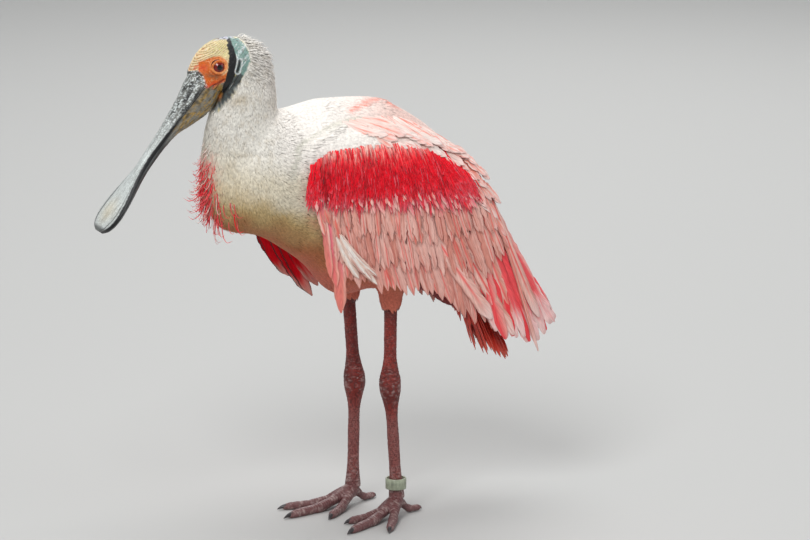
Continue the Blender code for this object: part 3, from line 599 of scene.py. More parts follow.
def leg_path(side):
    """Hip, hock and ankle of one leg."""
    y = side * LEG_SPREAD
    return np.array(
        [
            (TIBIA_X[side], y, TIBIA_TOP),
            (HOCK_X[side], y, HOCK_HEIGHT[side]),
            (ANKLE_X[side], y, ANKLE_HEIGHT),
        ]
    )


def leg_rings(side, rows=230, around=44):
    """Tibia, hock and tarsus as one tube, with a round hock and scales cut into it."""
    hip, hock, ankle = leg_path(side)
    span = np.linspace(0, 2, rows)
    path = np.where(
        span[:, None] < 1,
        hip + (hock - hip) * span[:, None],
        hock + (ankle - hock) * (span[:, None] - 1),
    )
    radius = np.where(
        span < 1,
        smooth((0, 0.5, 0.74, 0.86, 0.94, 1), (6.6, 6.1, 6.5, 8.4, 10.2, 10.5),
            np.clip(span, 0, 1))[:, 0],
        smooth(
            (0, 0.06, 0.13, 0.2, 0.5, 0.82, 1), (10.5, 10.0, 8.2, 6.6, 5.7, 6.0, 8.0),
            np.clip(span - 1, 0, 1),
        )[:, 0],
    )
    rings = tube_rings(path, radius, around)
    return rings + leg_relief(rings)[0][..., None] * unit(rings - path[:, None])


def leg_relief(points):
    """Height of the scales of the legs, and how dark they are, at points on the skin."""
    side = np.where(points[..., 1] < 0, LEFT, RIGHT)
    z = points[..., 2]
    axis_x = np.zeros(z.shape)
    for one in SIDES:
        hip, hock, ankle = leg_path(one)
        line = np.interp(z, (ankle[2], hock[2], hip[2]), (ankle[0], hock[0], hip[0]))
        axis_x = np.where(side == one, line, axis_x)
    off_x, off_y = points[..., 0] - axis_x, points[..., 1] - side * LEG_SPREAD
    around = np.arctan2(off_y, off_x)
    hock_z = np.where(side == LEFT, HOCK_HEIGHT[LEFT], HOCK_HEIGHT[RIGHT])
    size = 2.0 + 0.8 * np.exp(-(((z - hock_z) / 14) ** 2)) + 0.7 * ramp(z, 45, 25)
    edge, pick = cells(around * 6.5 / 2.4, z / size, 5)
    grooved = ramp(edge, 0.24, 0.05)
    out = np.hypot(off_x, off_y)
    cross = ramp(np.abs((out / 2.6) % 1 - 0.5), 0.33, 0.47)
    foot = ramp(out, 11, 14) * ramp(z, 20, 14)
    grooved = grooved * (1 - foot) + cross * foot
    pick = pick * (1 - foot) + foot * (0.5 + 0.5 * noise(points, 2.6, 32))
    return (0.2 * (pick - 0.5) - 0.42 * grooved) * (1 - foot), pick, grooved


def toe_path(side, heading, length, reach=1.0, count=64):
    """A toe's line from the ankle, down to the floor and along it."""
    ankle = leg_path(side)[2] * np.array([1, 1, 0])
    turn = math.radians(heading)
    way = np.array([-math.cos(turn), math.sin(turn), 0])
    at = np.linspace(0, reach, count)
    path = ankle + way * (at * length)[:, None]
    path[:, 2] = smooth(TOE_REACH, TOE_HEIGHT, at)[:, 0]
    swell = smooth(TOE_REACH, TOE_SWELL, at)[:, 0]
    return path, swell


def toe_rings(side, heading, length, thick):
    """A toe with rounded pads below and a row of cross scales above, flat on the floor."""
    path, swell = toe_path(side, heading, length, 0.93, 150)
    at = np.linspace(0, 0.93, len(path)) * length
    joint = np.minimum.reduce([np.abs(at - length * share) for share in (0.34, 0.58, 0.78)])
    radius = thick * swell * (1 - 0.1 * np.exp(-((joint / 1.8) ** 2)))
    radius[-5:] *= (0.97, 0.92, 0.84, 0.7, 0.4)
    rings = tube_rings(path, radius, 22)
    groove = ramp(np.abs((at / 2.6) % 1 - 0.5), 0.33, 0.47)
    above = np.clip(unit(rings - path[:, None])[..., 2] + 0.2, 0, 1)
    rough = 0.16 * noise(rings, 1.6, 34)
    rings -= ((0.42 * groove[:, None] * above) - rough)[..., None] * unit(rings - path[:, None])
    rings[..., 2] = np.maximum(rings[..., 2], 0.02)
    return rings


def web_rings(side, first, second):
    """The small web between two front toes: rows across it, hollow at the free edge."""
    ends = [toe_path(side, heading, length, 0.5)[0] for heading, length, _ in (first, second)]
    across = np.linspace(0, 1, 14)[None, :, None]
    rows = []
    for k in range(10, 54, 3):
        sag = 1 - 0.42 * (k / 54) ** 2 * np.sin(math.pi * across[0, :, 0]) ** 0.8
        line = ends[0][k] * (1 - across[0]) + ends[1][k] * across[0]
        start = 0.5 * (ends[0][4] + ends[1][4])
        line = start + (line - start) * sag[:, None]
        line[:, 2] = np.maximum(line[:, 2] - 1.2, 1.2)
        rows.append(line)
    top = np.array(rows)
    under = top - np.array([0, 0, 1.1])
    return np.concatenate([top, under[:, ::-1]], axis=1)


def lid_rings(side):
    """The ring of skin round the eye, lying on the ball of the eye."""
    turn = np.linspace(0, 2 * math.pi, 56, endpoint=False)
    wide, high = math.radians(52), math.radians(43)
    lean = np.hypot(wide * np.cos(turn), high * np.sin(turn))
    away = EYE_RADIUS + 0.1
    ring = away * np.stack(
        [np.sin(lean) * np.cos(turn), side * np.cos(lean), np.sin(lean) * np.sin(turn)], 1
    )
    inward = -np.stack([np.cos(turn), 0 * turn, np.sin(turn)], 1)
    section = np.linspace(0, 2 * math.pi, 12, endpoint=False)[None, :, None]
    thick = (1.5 + 0.12 * np.sin(turn * 9 + 1))[:, None, None]
    tube = ring[:, None] + thick * (
        np.cos(section) * inward[:, None] + np.sin(section) * unit(ring)[:, None]
    )
    return tube + np.array([EYE_CENTRE[0], side * EYE_CENTRE[1], EYE_CENTRE[2]])


def torus(rings):
    """Points and faces of a ring-shaped tube."""
    rows, around = rings.shape[:2]
    index = np.arange(rows * around).reshape(rows, around)
    down, after = np.roll(index, -1, axis=0), np.roll(index, -1, axis=1)
    both = np.roll(down, -1, axis=1)
    faces = np.stack([index, after, both, down], -1).reshape(-1, 4)
    return outward(rings.reshape(-1, 3), [faces])


def grid_normals(rings):
    """Outward directions of a body made of rings."""
    along = np.gradient(rings, axis=0)
    around = np.roll(rings, -1, axis=1) - np.roll(rings, 1, axis=1)
    normal = unit(np.cross(along, around))
    middle = rings.mean(1, keepdims=True)
    flip = np.sign(np.einsum("ijk,ijk->ij", normal, rings - middle))
    return normal * np.where(flip == 0, 1, flip)[..., None]


# Places on the head, on the chart.
BAND_LINE = ((229.2, 39), (232.4, 51.5), (233.8, 62), (232.8, 72), (229, 81), (225.2, 89),
    (222.8, 97))


EAR_LINE = ((240.4, 61.5), (239.8, 66), (238.2, 72))


def wrinkles(points):
    """Lengthwise folds of the forehead: a wave across a fan of lines, and where they are."""
    right, down = chart(points)
    place = inside(
        right, down,
        ((184, 74), (189, 54), (203, 40), (226, 37), (228, 52), (218, 57), (207, 61), (200, 66),
            (196, 73)),
        2.2,
    )
    level = down + 0.013 * (right - 190) ** 2
    waver = noise(np.stack([right / 9, down / 3, 0 * right], -1), 1.0, 3)
    return np.sin(2 * math.pi * (level / 2.5 + 0.42 * waver)), place
GAPE_LINE = ((205, 96), (209.5, 89.5), (214, 86), (219, 83.5), (224.5, 80))


def head_relief(points):
    """Wrinkles, orbit, ear, mouth corner and folds of the bare head, in millimetres."""
    right, down = chart(points)
    wave, forehead = wrinkles(points)
    lump = noise(points, 1.5, 8)
    relief = forehead * (0.42 * wave + 0.22 * lump)
    reach = np.hypot((right - 219.2) / 1.14, down - 65.9)
    relief += -1.0 * np.exp(-((reach / 8.0) ** 2))
    relief += 0.4 * np.exp(-(((reach - 10.5) / 1.3) ** 2)) * ramp(lump, -0.6, 0.4)
    relief += 0.3 * np.exp(-(((reach - 8.4) / 0.6) ** 2))
    gape, _ = near_line(right, down, GAPE_LINE)
    relief += -0.9 * np.exp(-((gape / 0.9) ** 2)) + 0.45 * np.exp(-(((gape - 2.0) / 1.0) ** 2))
    band, _ = near_line(right, down, BAND_LINE)
    relief += 0.45 * np.exp(-((band / 4.5) ** 2)) + 0.25 * np.exp(
        -((band / 5) ** 2)) * noise(points, 1.0, 4)
    slit, _ = near_line(right, down, EAR_LINE)
    relief += -1.7 * np.exp(-((slit / 1.2) ** 2)) + 0.7 * np.exp(-(((slit - 2.6) / 1.0) ** 2))
    lower = ramp(down, 72, 90)
    streak = noise(
        np.stack([(0.81 * right + 0.58 * down) / 1.5, (0.81 * down - 0.58 * right) / 9, 0 * right],
            -1),
        1.0, 9,
    )
    relief += 0.42 * lower * streak
    base = ramp(0.81 * down - 0.58 * right, -58, -50)
    return relief + (0.14 + 0.3 * base) * noise(points, 1.0, 6) + 0.14 * noise(points, 2.6, 7)


def body_object(name, points, faces):
    """A closed mesh as an object, for joining."""
    mesh, _ = put_mesh(name, points, faces)
    made = bpy.data.objects.new(name, mesh)
    bpy.context.scene.collection.objects.link(made)
    return made


def one_skin():
    """Torso, neck, head, wing beds, tail root, thighs, legs and feet as one closed surface."""
    head = egg_rings(HEAD, 250, 250)
    head = head + head_relief(head)[..., None] * grid_normals(head)
    parts = [
        shells(head[None]),
        shells(egg_rings(TORSO, 60, 72, COAT_DEPTH)[None]),
        shells(egg_rings(NECK, 54, 60, (2.4, 2.4, 2.2, 1.8, 1.6))[None]),
    ]
    core = [
        np.stack([x + thick * np.cos(t), wide * np.sin(t), z + 0 * t], 1)
        for x, z, thick, wide in TAIL_CORE
        for t in [np.linspace(0, 2 * math.pi, 24, endpoint=False)]
    ]
    parts.append(shells(np.array(core)[None]))
    for side in SIDES:
        parts.append(shells(wing_bed(side)[None]))
        hip, hock, _ = leg_path(side)
        top = hip + np.array([0, 0, 36])
        stretch = np.linspace(0, 1, 20)
        wide = smooth((0, 0.3, 0.7, 1), (22, 21, 12, 7), stretch)[:, 0]
        path = top + (hip + (hock - hip) * 0.2 - top) * stretch[:, None]
        parts.append(shells(tube_rings(path, wide, 28)[None]))
        parts.append(shells(leg_rings(side)[None]))
        parts += [shells(toe_rings(side, *toe)[None]) for toe in TOES[side]]
        inner, middle, outer, _ = TOES[side]
        parts += [shells(web_rings(side, *pair)[None]) for pair in ((inner, middle),
                (middle, outer))]
        parts.append(torus(lid_rings(side)))
    bodies = [body_object(f"body_{k}", *part) for k, part in enumerate(parts)]
    others = bpy.data.collections.new("joining")
    for other in bodies[1:]:
        bpy.context.scene.collection.objects.unlink(other)
        others.objects.link(other)
    bpy.context.scene.collection.children.link(others)
    skin = bodies[0]
    join = skin.modifiers.new("join", "BOOLEAN")
    join.operation, join.operand_type, join.solver = "UNION", "COLLECTION", "MANIFOLD"
    join.collection = others
    graph = bpy.context.evaluated_depsgraph_get()
    mesh = bpy.data.meshes.new_from_object(skin.evaluated_get(graph))
    for old in [skin, *others.objects]:
        bpy.data.objects.remove(old)
    bpy.data.collections.remove(others)
    work = bmesh.new()
    work.from_mesh(mesh)
    bmesh.ops.triangulate(work, faces=work.faces)
    work.to_mesh(mesh)
    work.free()
    return mesh


def arrays_of(mesh):
    """Points in millimetres, normals and triangles of a mesh."""
    points = np.empty(len(mesh.vertices) * 3, np.float32)
    mesh.vertices.foreach_get("co", points)
    normals = np.empty_like(points)
    mesh.vertices.foreach_get("normal", normals)
    triangles = np.empty(len(mesh.polygons) * 3, np.int32)
    mesh.polygons.foreach_get("vertices", triangles)
    points = points.reshape(-1, 3).astype(float) / MM - SHIFT
    return points, normals.reshape(-1, 3).astype(float), triangles.reshape(-1, 3)


def eased(points, triangles, weight, rounds=12):
    """Points drawn towards the mean of their neighbours, by a weight per point."""
    edges = np.unique(
        np.sort(np.concatenate([triangles[:, [0, 1]], triangles[:, [1, 2]], triangles[:, [2, 0]]]),
            1),
        axis=0,
    )
    count = np.bincount(edges.ravel(), minlength=len(points)).astype(float)
    for _ in range(rounds):
        total = np.zeros_like(points)
        for axis in range(3):
            total[:, axis] = np.bincount(
                edges[:, 0], points[edges[:, 1], axis], len(points)
            ) + np.bincount(edges[:, 1], points[edges[:, 0], axis], len(points))
        mean = total / np.maximum(count, 1)[:, None]
        points = points + (mean - points) * weight[:, None] * 0.6
    return points


def head_share(points):
    """1 on the bare head and 0 where feathers grow, over a soft ragged edge."""
    right, down = chart(points)
    ragged = 1.2 * noise(points, 2.2, 18)
    bare = inside(
        right + ragged, down + ragged,
        ((170, 90), (190, 45), (214, 30), (229, 33), (238, 37.5), (244, 42), (249.5, 52),
            (251, 62),
         (248, 70), (243.5, 77), (241, 84), (233, 97), (225, 106), (218, 112), (212, 110),
         (196, 104), (180, 110)),
        1.2,
    )
    return bare * ramp(points[..., 0], -106, -114) * ramp(points[..., 2], 395, 402)


def leg_share(points):
    """1 on the bare legs and feet."""
    side = np.where(points[..., 1] < 0, LEFT, RIGHT)
    z = points[..., 2]
    hem = np.where(side == LEFT, 208, 210) + 3 * noise(points, 6.0, 2)
    return ramp(z, hem + 3, hem - 3) * ramp(points[..., 0], 62, 56)


# Outlines of the head's coloured patches, on the chart.
HEAD_PATCHES = {
    "bill_base": (
        (150, 120), (176, 76), (187, 71.5), (199, 70.5), (206, 76), (211, 90), (200, 104),
    ),
    "throat": (
        (150, 150), (196, 103), (206, 90), (214, 84), (222, 80), (230, 79), (227, 98), (216, 114),
        (190, 134),
    ),
    "orange": (
        (199, 62.5), (206, 60), (212, 57.5), (221, 56.5), (228.5, 60), (229, 72), (226, 82),
        (217, 84), (210.5, 89.5), (206.5, 84), (203.5, 75), (199, 71),
    ),
    "lores": (
        (186, 67), (200, 65.5), (203, 68), (200, 70.5), (186, 71),
    ),
    "crown_top": (
        (203, 43), (212, 34), (230, 30), (236, 36), (231, 40), (222, 39.5), (212, 41),
    ),
    "teal": (
        (228, 35), (231, 38), (239, 38), (246, 45), (250, 53), (252, 62), (249, 70), (244, 77),
        (238, 76), (233, 70), (234, 60), (232, 48),
    ),
    "slate": (
        (239, 72), (244, 76), (240, 86), (232, 98), (222, 109), (212, 113), (221, 98), (229, 82),
        (236, 76),
    ),
}


def head_tint(points):
    """Colours of the bare head, from front to back and top to bottom, with painted shade in the
    hollows of the forehead's wrinkles and of the ear slit, and painted highlight on their raised
    crests.
    """
    right, down = chart(points)
    grain = noise(points, 1.1, 21)
    coarse = noise(points, 4.0, 22)
    speck = noise(points, 0.7, 26)
    wave, forehead = wrinkles(points)
    along, across = 0.81 * down - 0.58 * right, 0.81 * right + 0.58 * down
    streak = noise(np.stack([across / 1.1, along / 9, 0 * right], -1), 1.0, 24)
    broad = noise(np.stack([across / 2.6, along / 16, 0 * right], -1), 1.0, 25)
    tint = np.broadcast_to(ink("ivory"), points.shape).copy()
    tint = mix(tint, ink("crown"), ramp(right + 5 * coarse, 198, 212))
    green = blob(right, down, (221, 49), (11, 9), -35)
    tint = mix(tint, ink("crown_green"), 0.85 * green * ramp(grain, -0.7, 0.4))
    folds = 0.30 * forehead * ramp(wave, 0.0, -0.8) * ramp(right, 214, 204)
    tint = mix(tint, ink("orange"), folds)
    # Painted shade: brown in the troughs of the forehead wrinkles.
    tint = mix(tint, ink("brown"), 0.62 * forehead * ramp(wave + 0.25 * grain, -0.55, -1.0))
    # Painted highlight: pale on the raised crests of the wrinkles.
    tint = mix(tint, ink("tip_white"), 0.4 * forehead * ramp(wave, 0.5, 1.0))
    base = inside(right, down, HEAD_PATCHES["bill_base"], 1.0)
    mottle = mix(ink("horn_mid"), ink("horn_dark"), ramp(coarse + 0.7 * grain, -0.25, 0.35))
    mottle = mix(mottle, ink("horn_pale"), ramp(speck + 0.4 * streak, 0.0, 0.35))
    tint = mix(tint, mottle, base)
    throat = inside(right, down, HEAD_PATCHES["throat"], 1.2)
    under = mix(ink("ochre"), ink("horn_dark"), ramp(streak + 0.5 * broad, -0.25, 0.3))
    under = mix(under, ink("horn_mid"), 0.8 * ramp(broad + 0.4 * grain, 0.0, 0.5))
    tint = mix(tint, under, throat)
    orange = inside(right, down, HEAD_PATCHES["orange"], 1.2)
    tint = mix(tint, ink("orange"), orange)
    tint = mix(tint, ink("crown"), 0.3 * orange * ramp(grain + 0.5 * coarse, 0.1, 0.7))
    spot = 0.8 * blob(right, down, (204, 68), (6, 4.5), 20)
    tint = mix(tint, ink("orange_red"), spot * ramp(grain, -0.8, 0.2))
    tint = mix(tint, ink("orange_red"), 0.8 * blob(right, down, (212, 85.5), (9, 3.6), -22))
    spot = 0.95 * blob(right, down, (214, 76.5), (11, 3.6), 12)
    tint = mix(tint, ink("brown"), spot * ramp(grain, -0.9, 0.1))
    reach = np.hypot((right - 219.2) / 1.15, down - 65.9)
    tint = mix(tint, ink("lid"), 0.8 * np.exp(-(((reach - 6.8) / 1.2) ** 2)))
    rear = np.exp(-(((reach - 9.0) / 1.1) ** 2)) * ramp(right, 221, 226)
    tint = mix(tint, ink("ivory"), 0.75 * rear)
    lores = inside(right, down, HEAD_PATCHES["lores"], 1.0)
    tint = mix(tint, ink("orange_red"), 0.6 * lores * ramp(streak, -0.5, 0.4))
    tint = mix(tint, ink("orange"), 0.85 * blob(right, down, (219, 95), (3.2, 5), -35))
    top = inside(right, down, HEAD_PATCHES["crown_top"], 1.4)
    tint = mix(tint, mix(ink("lilac"), ink("slate"), 0.8 * ramp(speck + 0.6 * coarse, 0.0, 0.45)),
        top)
    teal = inside(right, down, HEAD_PATCHES["teal"], 1.2)
    pale = mix(ink("teal"), ink("horn_pale"), 0.7 * ramp(streak + 0.6 * grain, 0.1, 0.6))
    tint = mix(tint, mix(pale, ink("slate"), 0.55 * ramp(grain - 0.4 * coarse, 0.1, 0.6)), teal)
    slate = inside(right, down, HEAD_PATCHES["slate"], 1.2)
    tint = mix(tint, mix(ink("slate"), ink("horn_dark"), ramp(streak + 0.3 * grain, -0.3, 0.4)),
        slate)
    tint = mix(tint, ink("horn_pale"), 0.6 * slate * ramp(streak, 0.45, 0.8))
    band, run = near_line(right, down, BAND_LINE)
    wide = np.interp(run, (0, 0.22, 0.42, 0.6, 0.75, 0.9, 1), (1.4, 2.9, 4.5, 4.2, 3.2, 2.0, 0.8))
    wisp = ramp(right, 233, 228) * ramp(down, 64, 50) * 1.6 * noise(np.stack([right / 6,
                (down + 0.6 * right) / 1.5, 0 * right], -1), 1.0, 27)
    dark = ramp(band + 0.7 * grain + wisp, wide + 0.5, wide - 0.5)
    tint = mix(tint, mix(ink("black"), ink("horn_dark"), 0.5 * ramp(streak, 0.2, 0.8)), dark)
    slit, _ = near_line(right, down, EAR_LINE)
    # Painted highlight on the raised lip of the ear slit.
    tint = mix(tint, ink("horn_pale"), 0.85 * np.exp(-(((slit - 2.4) / 0.7) ** 2)))
    # Painted shade in the hollow of the ear slit.
    tint = mix(tint, ink("black"), np.exp(-((slit / 1.5) ** 2)))
    gape, _ = near_line(right, down, GAPE_LINE)
    tint = mix(tint, ink("maroon"), 0.85 * np.exp(-((gape / 0.8) ** 2)))
    return tint * (1 + 0.09 * grain + 0.08 * speck)[..., None]


def leg_tint(points):
    """Colours of the legs: brown-red above, maroon hocks and grey-brown scaly feet, with painted
    grey glints on the scales, strongest on the hock, pale scales on the feet, and painted shade at
    the top under the thigh feathers.
    """
    _, pick, grooved = leg_relief(points)
    z = points[..., 2]
    coarse = noise(points, 9.0, 31)
    fine = noise(points, 1.4, 33)
    tint = mix(ink("leg"), ink("leg_dark"), np.clip(0.4 + 0.5 * coarse, 0, 1))
    tint = mix(tint, ink("tarsus"), ramp(z, 112, 84))
    tint = mix(tint, ink("foot"), ramp(z, 40, 14))
    knob = np.exp(-(((z - 126) / 12) ** 2))
    # Pale grey on the scales: painted glints, most on the hock, and towards the foot also the
    # scales' own pale colour.
    grey = np.clip(0.12 + 0.6 * ramp(z, 60, 18) + 0.45 * knob, 0, 1)
    tint = mix(tint, ink("leg_dark"), 0.5 * knob)
    tint = mix(tint, ink("scute_pale_and_glint"), grey * ramp(pick + 0.3 * fine, 0.45, 0.95))
    tint = mix(tint, ink("leg_dark") * 0.6, 0.8 * grooved * ramp(z, 4, 9))
    # Painted shade: the top of the leg darkens just under the thigh feathers.
    return mix(tint, ink("leg_dark"), 0.5 * ramp(z, 190, 206))


def plumage_tint(points):
    """Colours of the body feathers by their place, without the wings' own markings; the lower body
    and the vent carry painted shade over their own colours.
    """
    right, down = chart(points)
    x, z = points[..., 0], points[..., 2]
    coarse = noise(points, 16.0, 41)
    fine = noise(points, 3.0, 42)
    tint = np.broadcast_to(ink("mantle"), points.shape).copy()
    tint = mix(tint, ink("neck"), ramp(right + 0.25 * (150 - down), 296, 262))
    low = (down - 0.25 * (right - 250)) + 8 * coarse
    tint = mix(tint, ink("cream"), ramp(low, 140, 182) * ramp(right, 400, 330))
    # Buff, brown and rust towards the underside: partly the feathers' own colour, partly painted
    # shade on the lower body.
    tint = mix(tint, ink("buff"), ramp(low, 184, 218) * ramp(right, 420, 340))
    tint = mix(tint, ink("belly"), ramp(low, 208, 238))
    tint = mix(tint, ink("rust"), ramp(low, 230, 262))
    # Maroon at the vent and under the tail: the red undertail coverts, deepened with painted
    # shade.
    tint = mix(tint, ink("maroon"), ramp(x + 0.3 * (300 - z), 34, 74) * ramp(z, 330, 270))
    tint = mix(tint, ink("olive"), 0.5 * blob(right, down, (240, 101), (12, 6), -25))
    tint = mix(tint, ink("olive"), 0.2 * ramp(fine, 0.1, 0.6) * ramp(right, 300, 260))
    arch, _ = near_line(right, down, SHOULDER_ARCH)
    tint = mix(tint, ink("shade"), 0.75 * np.exp(-((arch / 3.0) ** 2)))
    spot = 0.75 * blob(right, down, (314, 196), (10, 30))
    tint = mix(tint, ink("rose"), spot * ramp(fine, -0.8, 0.4))
    tint = mix(tint, ink("blush"), 0.7 * blob(right, down, (400, 118), (60, 26), 20))
    streak, _ = near_line(right, down, ((345, 112.5), (358, 104), (372, 98.5), (390, 105)))
    tint = mix(tint, ink("salmon"), 0.7 * np.exp(-((streak / 2.6) ** 2)) * ramp(fine, -0.9, 0.3))
    front = np.exp(-(((right - 209) / 9) ** 2)) * ramp(down, 140, 172) * ramp(down, 238, 216)
    return mix(tint, ink("coral"), 0.6 * front * ramp(fine, -0.5, 0.5))


SHOULDER_ARCH = (
    (291, 178), (292, 168), (295, 160), (299, 149.6), (308, 140.7), (320, 132.7), (336, 124),
    (352, 120), (370, 124.6), (380, 136),
)


SKIN_NODES = ["torso", "neck", "head"] + [
    part + "_" + side
    for part in ("thigh", "tibia", "tarsus", "foot")
    for side in ("left", "right")
]


def dressed_skin():
    """The one skin as a piece, with bare head, bare legs and a downy bed for the feathers."""
    mesh = one_skin()
    points, normals, triangles = arrays_of(mesh)
    right, down = chart(points)
    neck_join = np.exp(-(((points[:, 2] - 422) / 26) ** 2)) * ramp(points[:, 0], -150, -138)
    ankle = np.exp(-(((points[:, 2] - 14) / 7) ** 2)) * (points[:, 2] > 6)
    hidden = (1 - head_share(points)) * (points[:, 2] > 215)
    weight = np.clip(np.maximum.reduce([neck_join * 0.9, 0.55 * ankle, hidden]), 0, 1)
    points = eased(points, triangles, weight)
    right, down = chart(points)
    lobe = inside(right, down, SHOULDER_ARCH + ((400, 150), (330, 178)), 2.5)
    lobe = lobe * ramp(down, 166, 150)
    arch, _ = near_line(right, down, SHOULDER_ARCH)
    points = points + normals * (1.8 * lobe - 0.3 * np.exp(-(((arch + 2) / 3) ** 2)))[:, None]
    mesh.vertices.foreach_set("co", ((points + SHIFT) * MM).astype(np.float32).ravel())
    mesh.update()
    points, normals, triangles = arrays_of(mesh)
    bare, leg = head_share(points), leg_share(points)
    tint = plumage_tint(points) * 0.94
    wing = ramp(np.abs(points[:, 1]), 48, 56) * (points[:, 2] < 372) * (points[:, 0] > -100)
    tint = mix(tint, ink("carmine_dark"), wing * ramp(points[:, 2], 368, 350))
    tint = mix(tint, head_tint(points), bare)
    tint = mix(tint, leg_tint(points), leg)
    paint(mesh, tint)
    skin = bpy.data.objects.new("skin", mesh)
    bpy.context.scene.collection.objects.link(skin)
    mesh.materials.clear()
    mesh.materials.append(skin_finish("bare_head_skin", 0.55, 900, 0.35, coat=0.05,
            subsurface=0.08))
    mesh.materials.append(skin_finish("leg_skin", 0.5, 700, 0.45, coat=0.08))
    mesh.materials.append(coat_finish("down", 0.3))
    middle = points[triangles].mean(1)
    choice = np.where(
        head_share(middle) > 0.5, 0, np.where(leg_share(middle) > 0.5, 1, 2)
    ).astype(np.int32)
    mesh.polygons.foreach_set("material_index", choice)
    mesh.polygons.foreach_set("use_smooth", np.ones(len(choice), bool))
    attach(skin, "root")
    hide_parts(*SKIN_NODES)
    return points, normals, triangles


# The body feathers.


def sow(skin, keep, spacing, seed):
    """Places spread over the skin where keep is high, one per small cube of the spacing."""
    points, normals, triangles = skin
    corners = points[triangles]
    edges = corners[:, 1:] - corners[:, :1]
    area = np.linalg.norm(np.cross(edges[:, 0], edges[:, 1]), axis=1)
    middle = corners.mean(1)
    wanted = area * (keep(middle) > 0.02)
    draw = np.random.default_rng(seed)
    count = int(wanted.sum() / 2 / spacing**2 * 5)
    chosen = draw.choice(len(area), count, p=wanted / wanted.sum())
    a, b = draw.uniform(0, 1, (2, count, 1))
    fold = a + b > 1
    a, b = np.where(fold, 1 - a, a), np.where(fold, 1 - b, b)
    place = corners[chosen, 0] * (1 - a - b) + corners[chosen, 1] * a + corners[chosen, 2] * b
    lean = normals[triangles[chosen]]
    way = unit(lean[:, 0] * (1 - a - b) + lean[:, 1] * a + lean[:, 2] * b)
    _, first = np.unique(np.floor(place / spacing).astype(int), axis=0, return_index=True)
    first = np.sort(first)
    place, way = place[first], way[first]
    kept = draw.uniform(0, 1, len(place)) < keep(place)
    return place[kept], way[kept]


def unwrapped(places):
    """Each place on an unwrap of the body's own shape: along its middle line, and round it."""
    rows = np.array([row[:2] for row in (*HEAD[:6], *NECK[8:3:-1], *TORSO[4:])], float)
    run = np.append(0, np.cumsum(np.hypot(*np.diff(rows, axis=0).T)))
    at = np.linspace(0, run[-1], 160)
    line = np.stack([np.interp(at, run, rows[:, 0]), np.interp(at, run, rows[:, 1])], 1)
    nearest = np.empty(len(places), int)
    for start in range(0, len(places), 20000):
        some = places[start : start + 20000]
        ahead = some[:, None, 0] - line[None, :, 0]
        above = some[:, None, 2] - line[None, :, 1]
        gap = ahead**2 + above**2
        nearest[start : start + 20000] = gap.argmin(1)
    way = np.gradient(line, axis=0)[nearest]
    off = places[:, [0, 2]] - line[nearest]
    rise = (way[:, 0] * off[:, 1] - way[:, 1] * off[:, 0]) / np.linalg.norm(way, axis=1)
    angle = np.arctan2(places[:, 1], rise) / (2 * math.pi) + 0.5
    return np.stack([0.01 + 0.98 * at[nearest] / run[-1], 0.01 + 0.98 * angle], 1)


def tufts(name, place, out, lie, length, width, looks, tint, lift, rows=3, nodes=()):
    """Small feathers as locks that leave the skin and lie along it.

    The middle line of each is root + lie * run + out * height, where the height rises from
    below the skin and levels off. The width swells and then tapers to a point.
    """
    lie = unit(lie - out * np.einsum("ij,ij->i", lie, out)[:, None])
    across = np.cross(lie, out)
    share = np.linspace(0, 1, rows) ** 0.9
    wide = np.interp(share, (0, 0.45, 0.75, 1), (0.75, 1.0, 0.8, 0.1))
    end = (lift[0] + lift[1] * np.ones(len(place)))[:, None]
    height = -lift[0] + end * (1 - (1 - share) ** 2)
    line = (
        place[:, None]
        + lie[:, None] * (share[None, :, None] * length[:, None, None])
        + out[:, None] * height[..., None]
    )
    shade = np.stack([tint * (0.95 + 0.07 * s) for s in share], 1)
    points, faces, shade = locks(
        line, wide[None] * width[:, None], out[:, None] * 0.7, across[:, None], shade
    )
    maps = {"OFBake": root_patches(unwrapped(place), rows)}
    guide = np.repeat(unit(out + 0.25 * lie), 3 * rows - 2, axis=0)
    return piece(name, points, faces, looks, nodes, shade, maps, guide, 0.72)


def lie_of(place):
    """The way the body feathers lie: down the neck, back along the body, down the thighs."""
    x, z = place[:, 0], place[:, 2]
    way = np.stack([1.0 + 0 * x, 0 * x, -0.35 + 0 * x], 1)
    neck = ramp(z, 352, 400) * ramp(x, -90, -112)
    down_neck = np.stack([-0.05 + 0 * x, 0 * x, -1 + 0 * x], 1)
    breast = ramp(x, -96, -128)
    over_breast = np.stack([0.35 + 0 * x, 0 * x, -1 + 0 * x], 1)
    way = mix(way, over_breast, breast)
    way = mix(way, down_neck, neck)
    nape = ramp(z, 420, 446)
    way = mix(way, np.stack([0.8 + 0 * x, 0 * x, -0.5 + 0 * x], 1), nape)
    thigh = ramp(z, 262, 236)
    return mix(way, np.stack([0.15 + 0 * x, 0 * x, -1 + 0 * x], 1), thigh)


# Where the coats part, in millimetres: behind the collar, below the neck and the mantle, behind
# the belly, beside the wing, and above the bare legs and the tail.
COLLAR_X, NECK_FOOT, MANTLE_FOOT, VENT_X = -92, 366, 345, 25
FLANK_HALF, THIGH_FOOT, RUMP_X, RUMP_FOOT = 66, 206, 58, 198


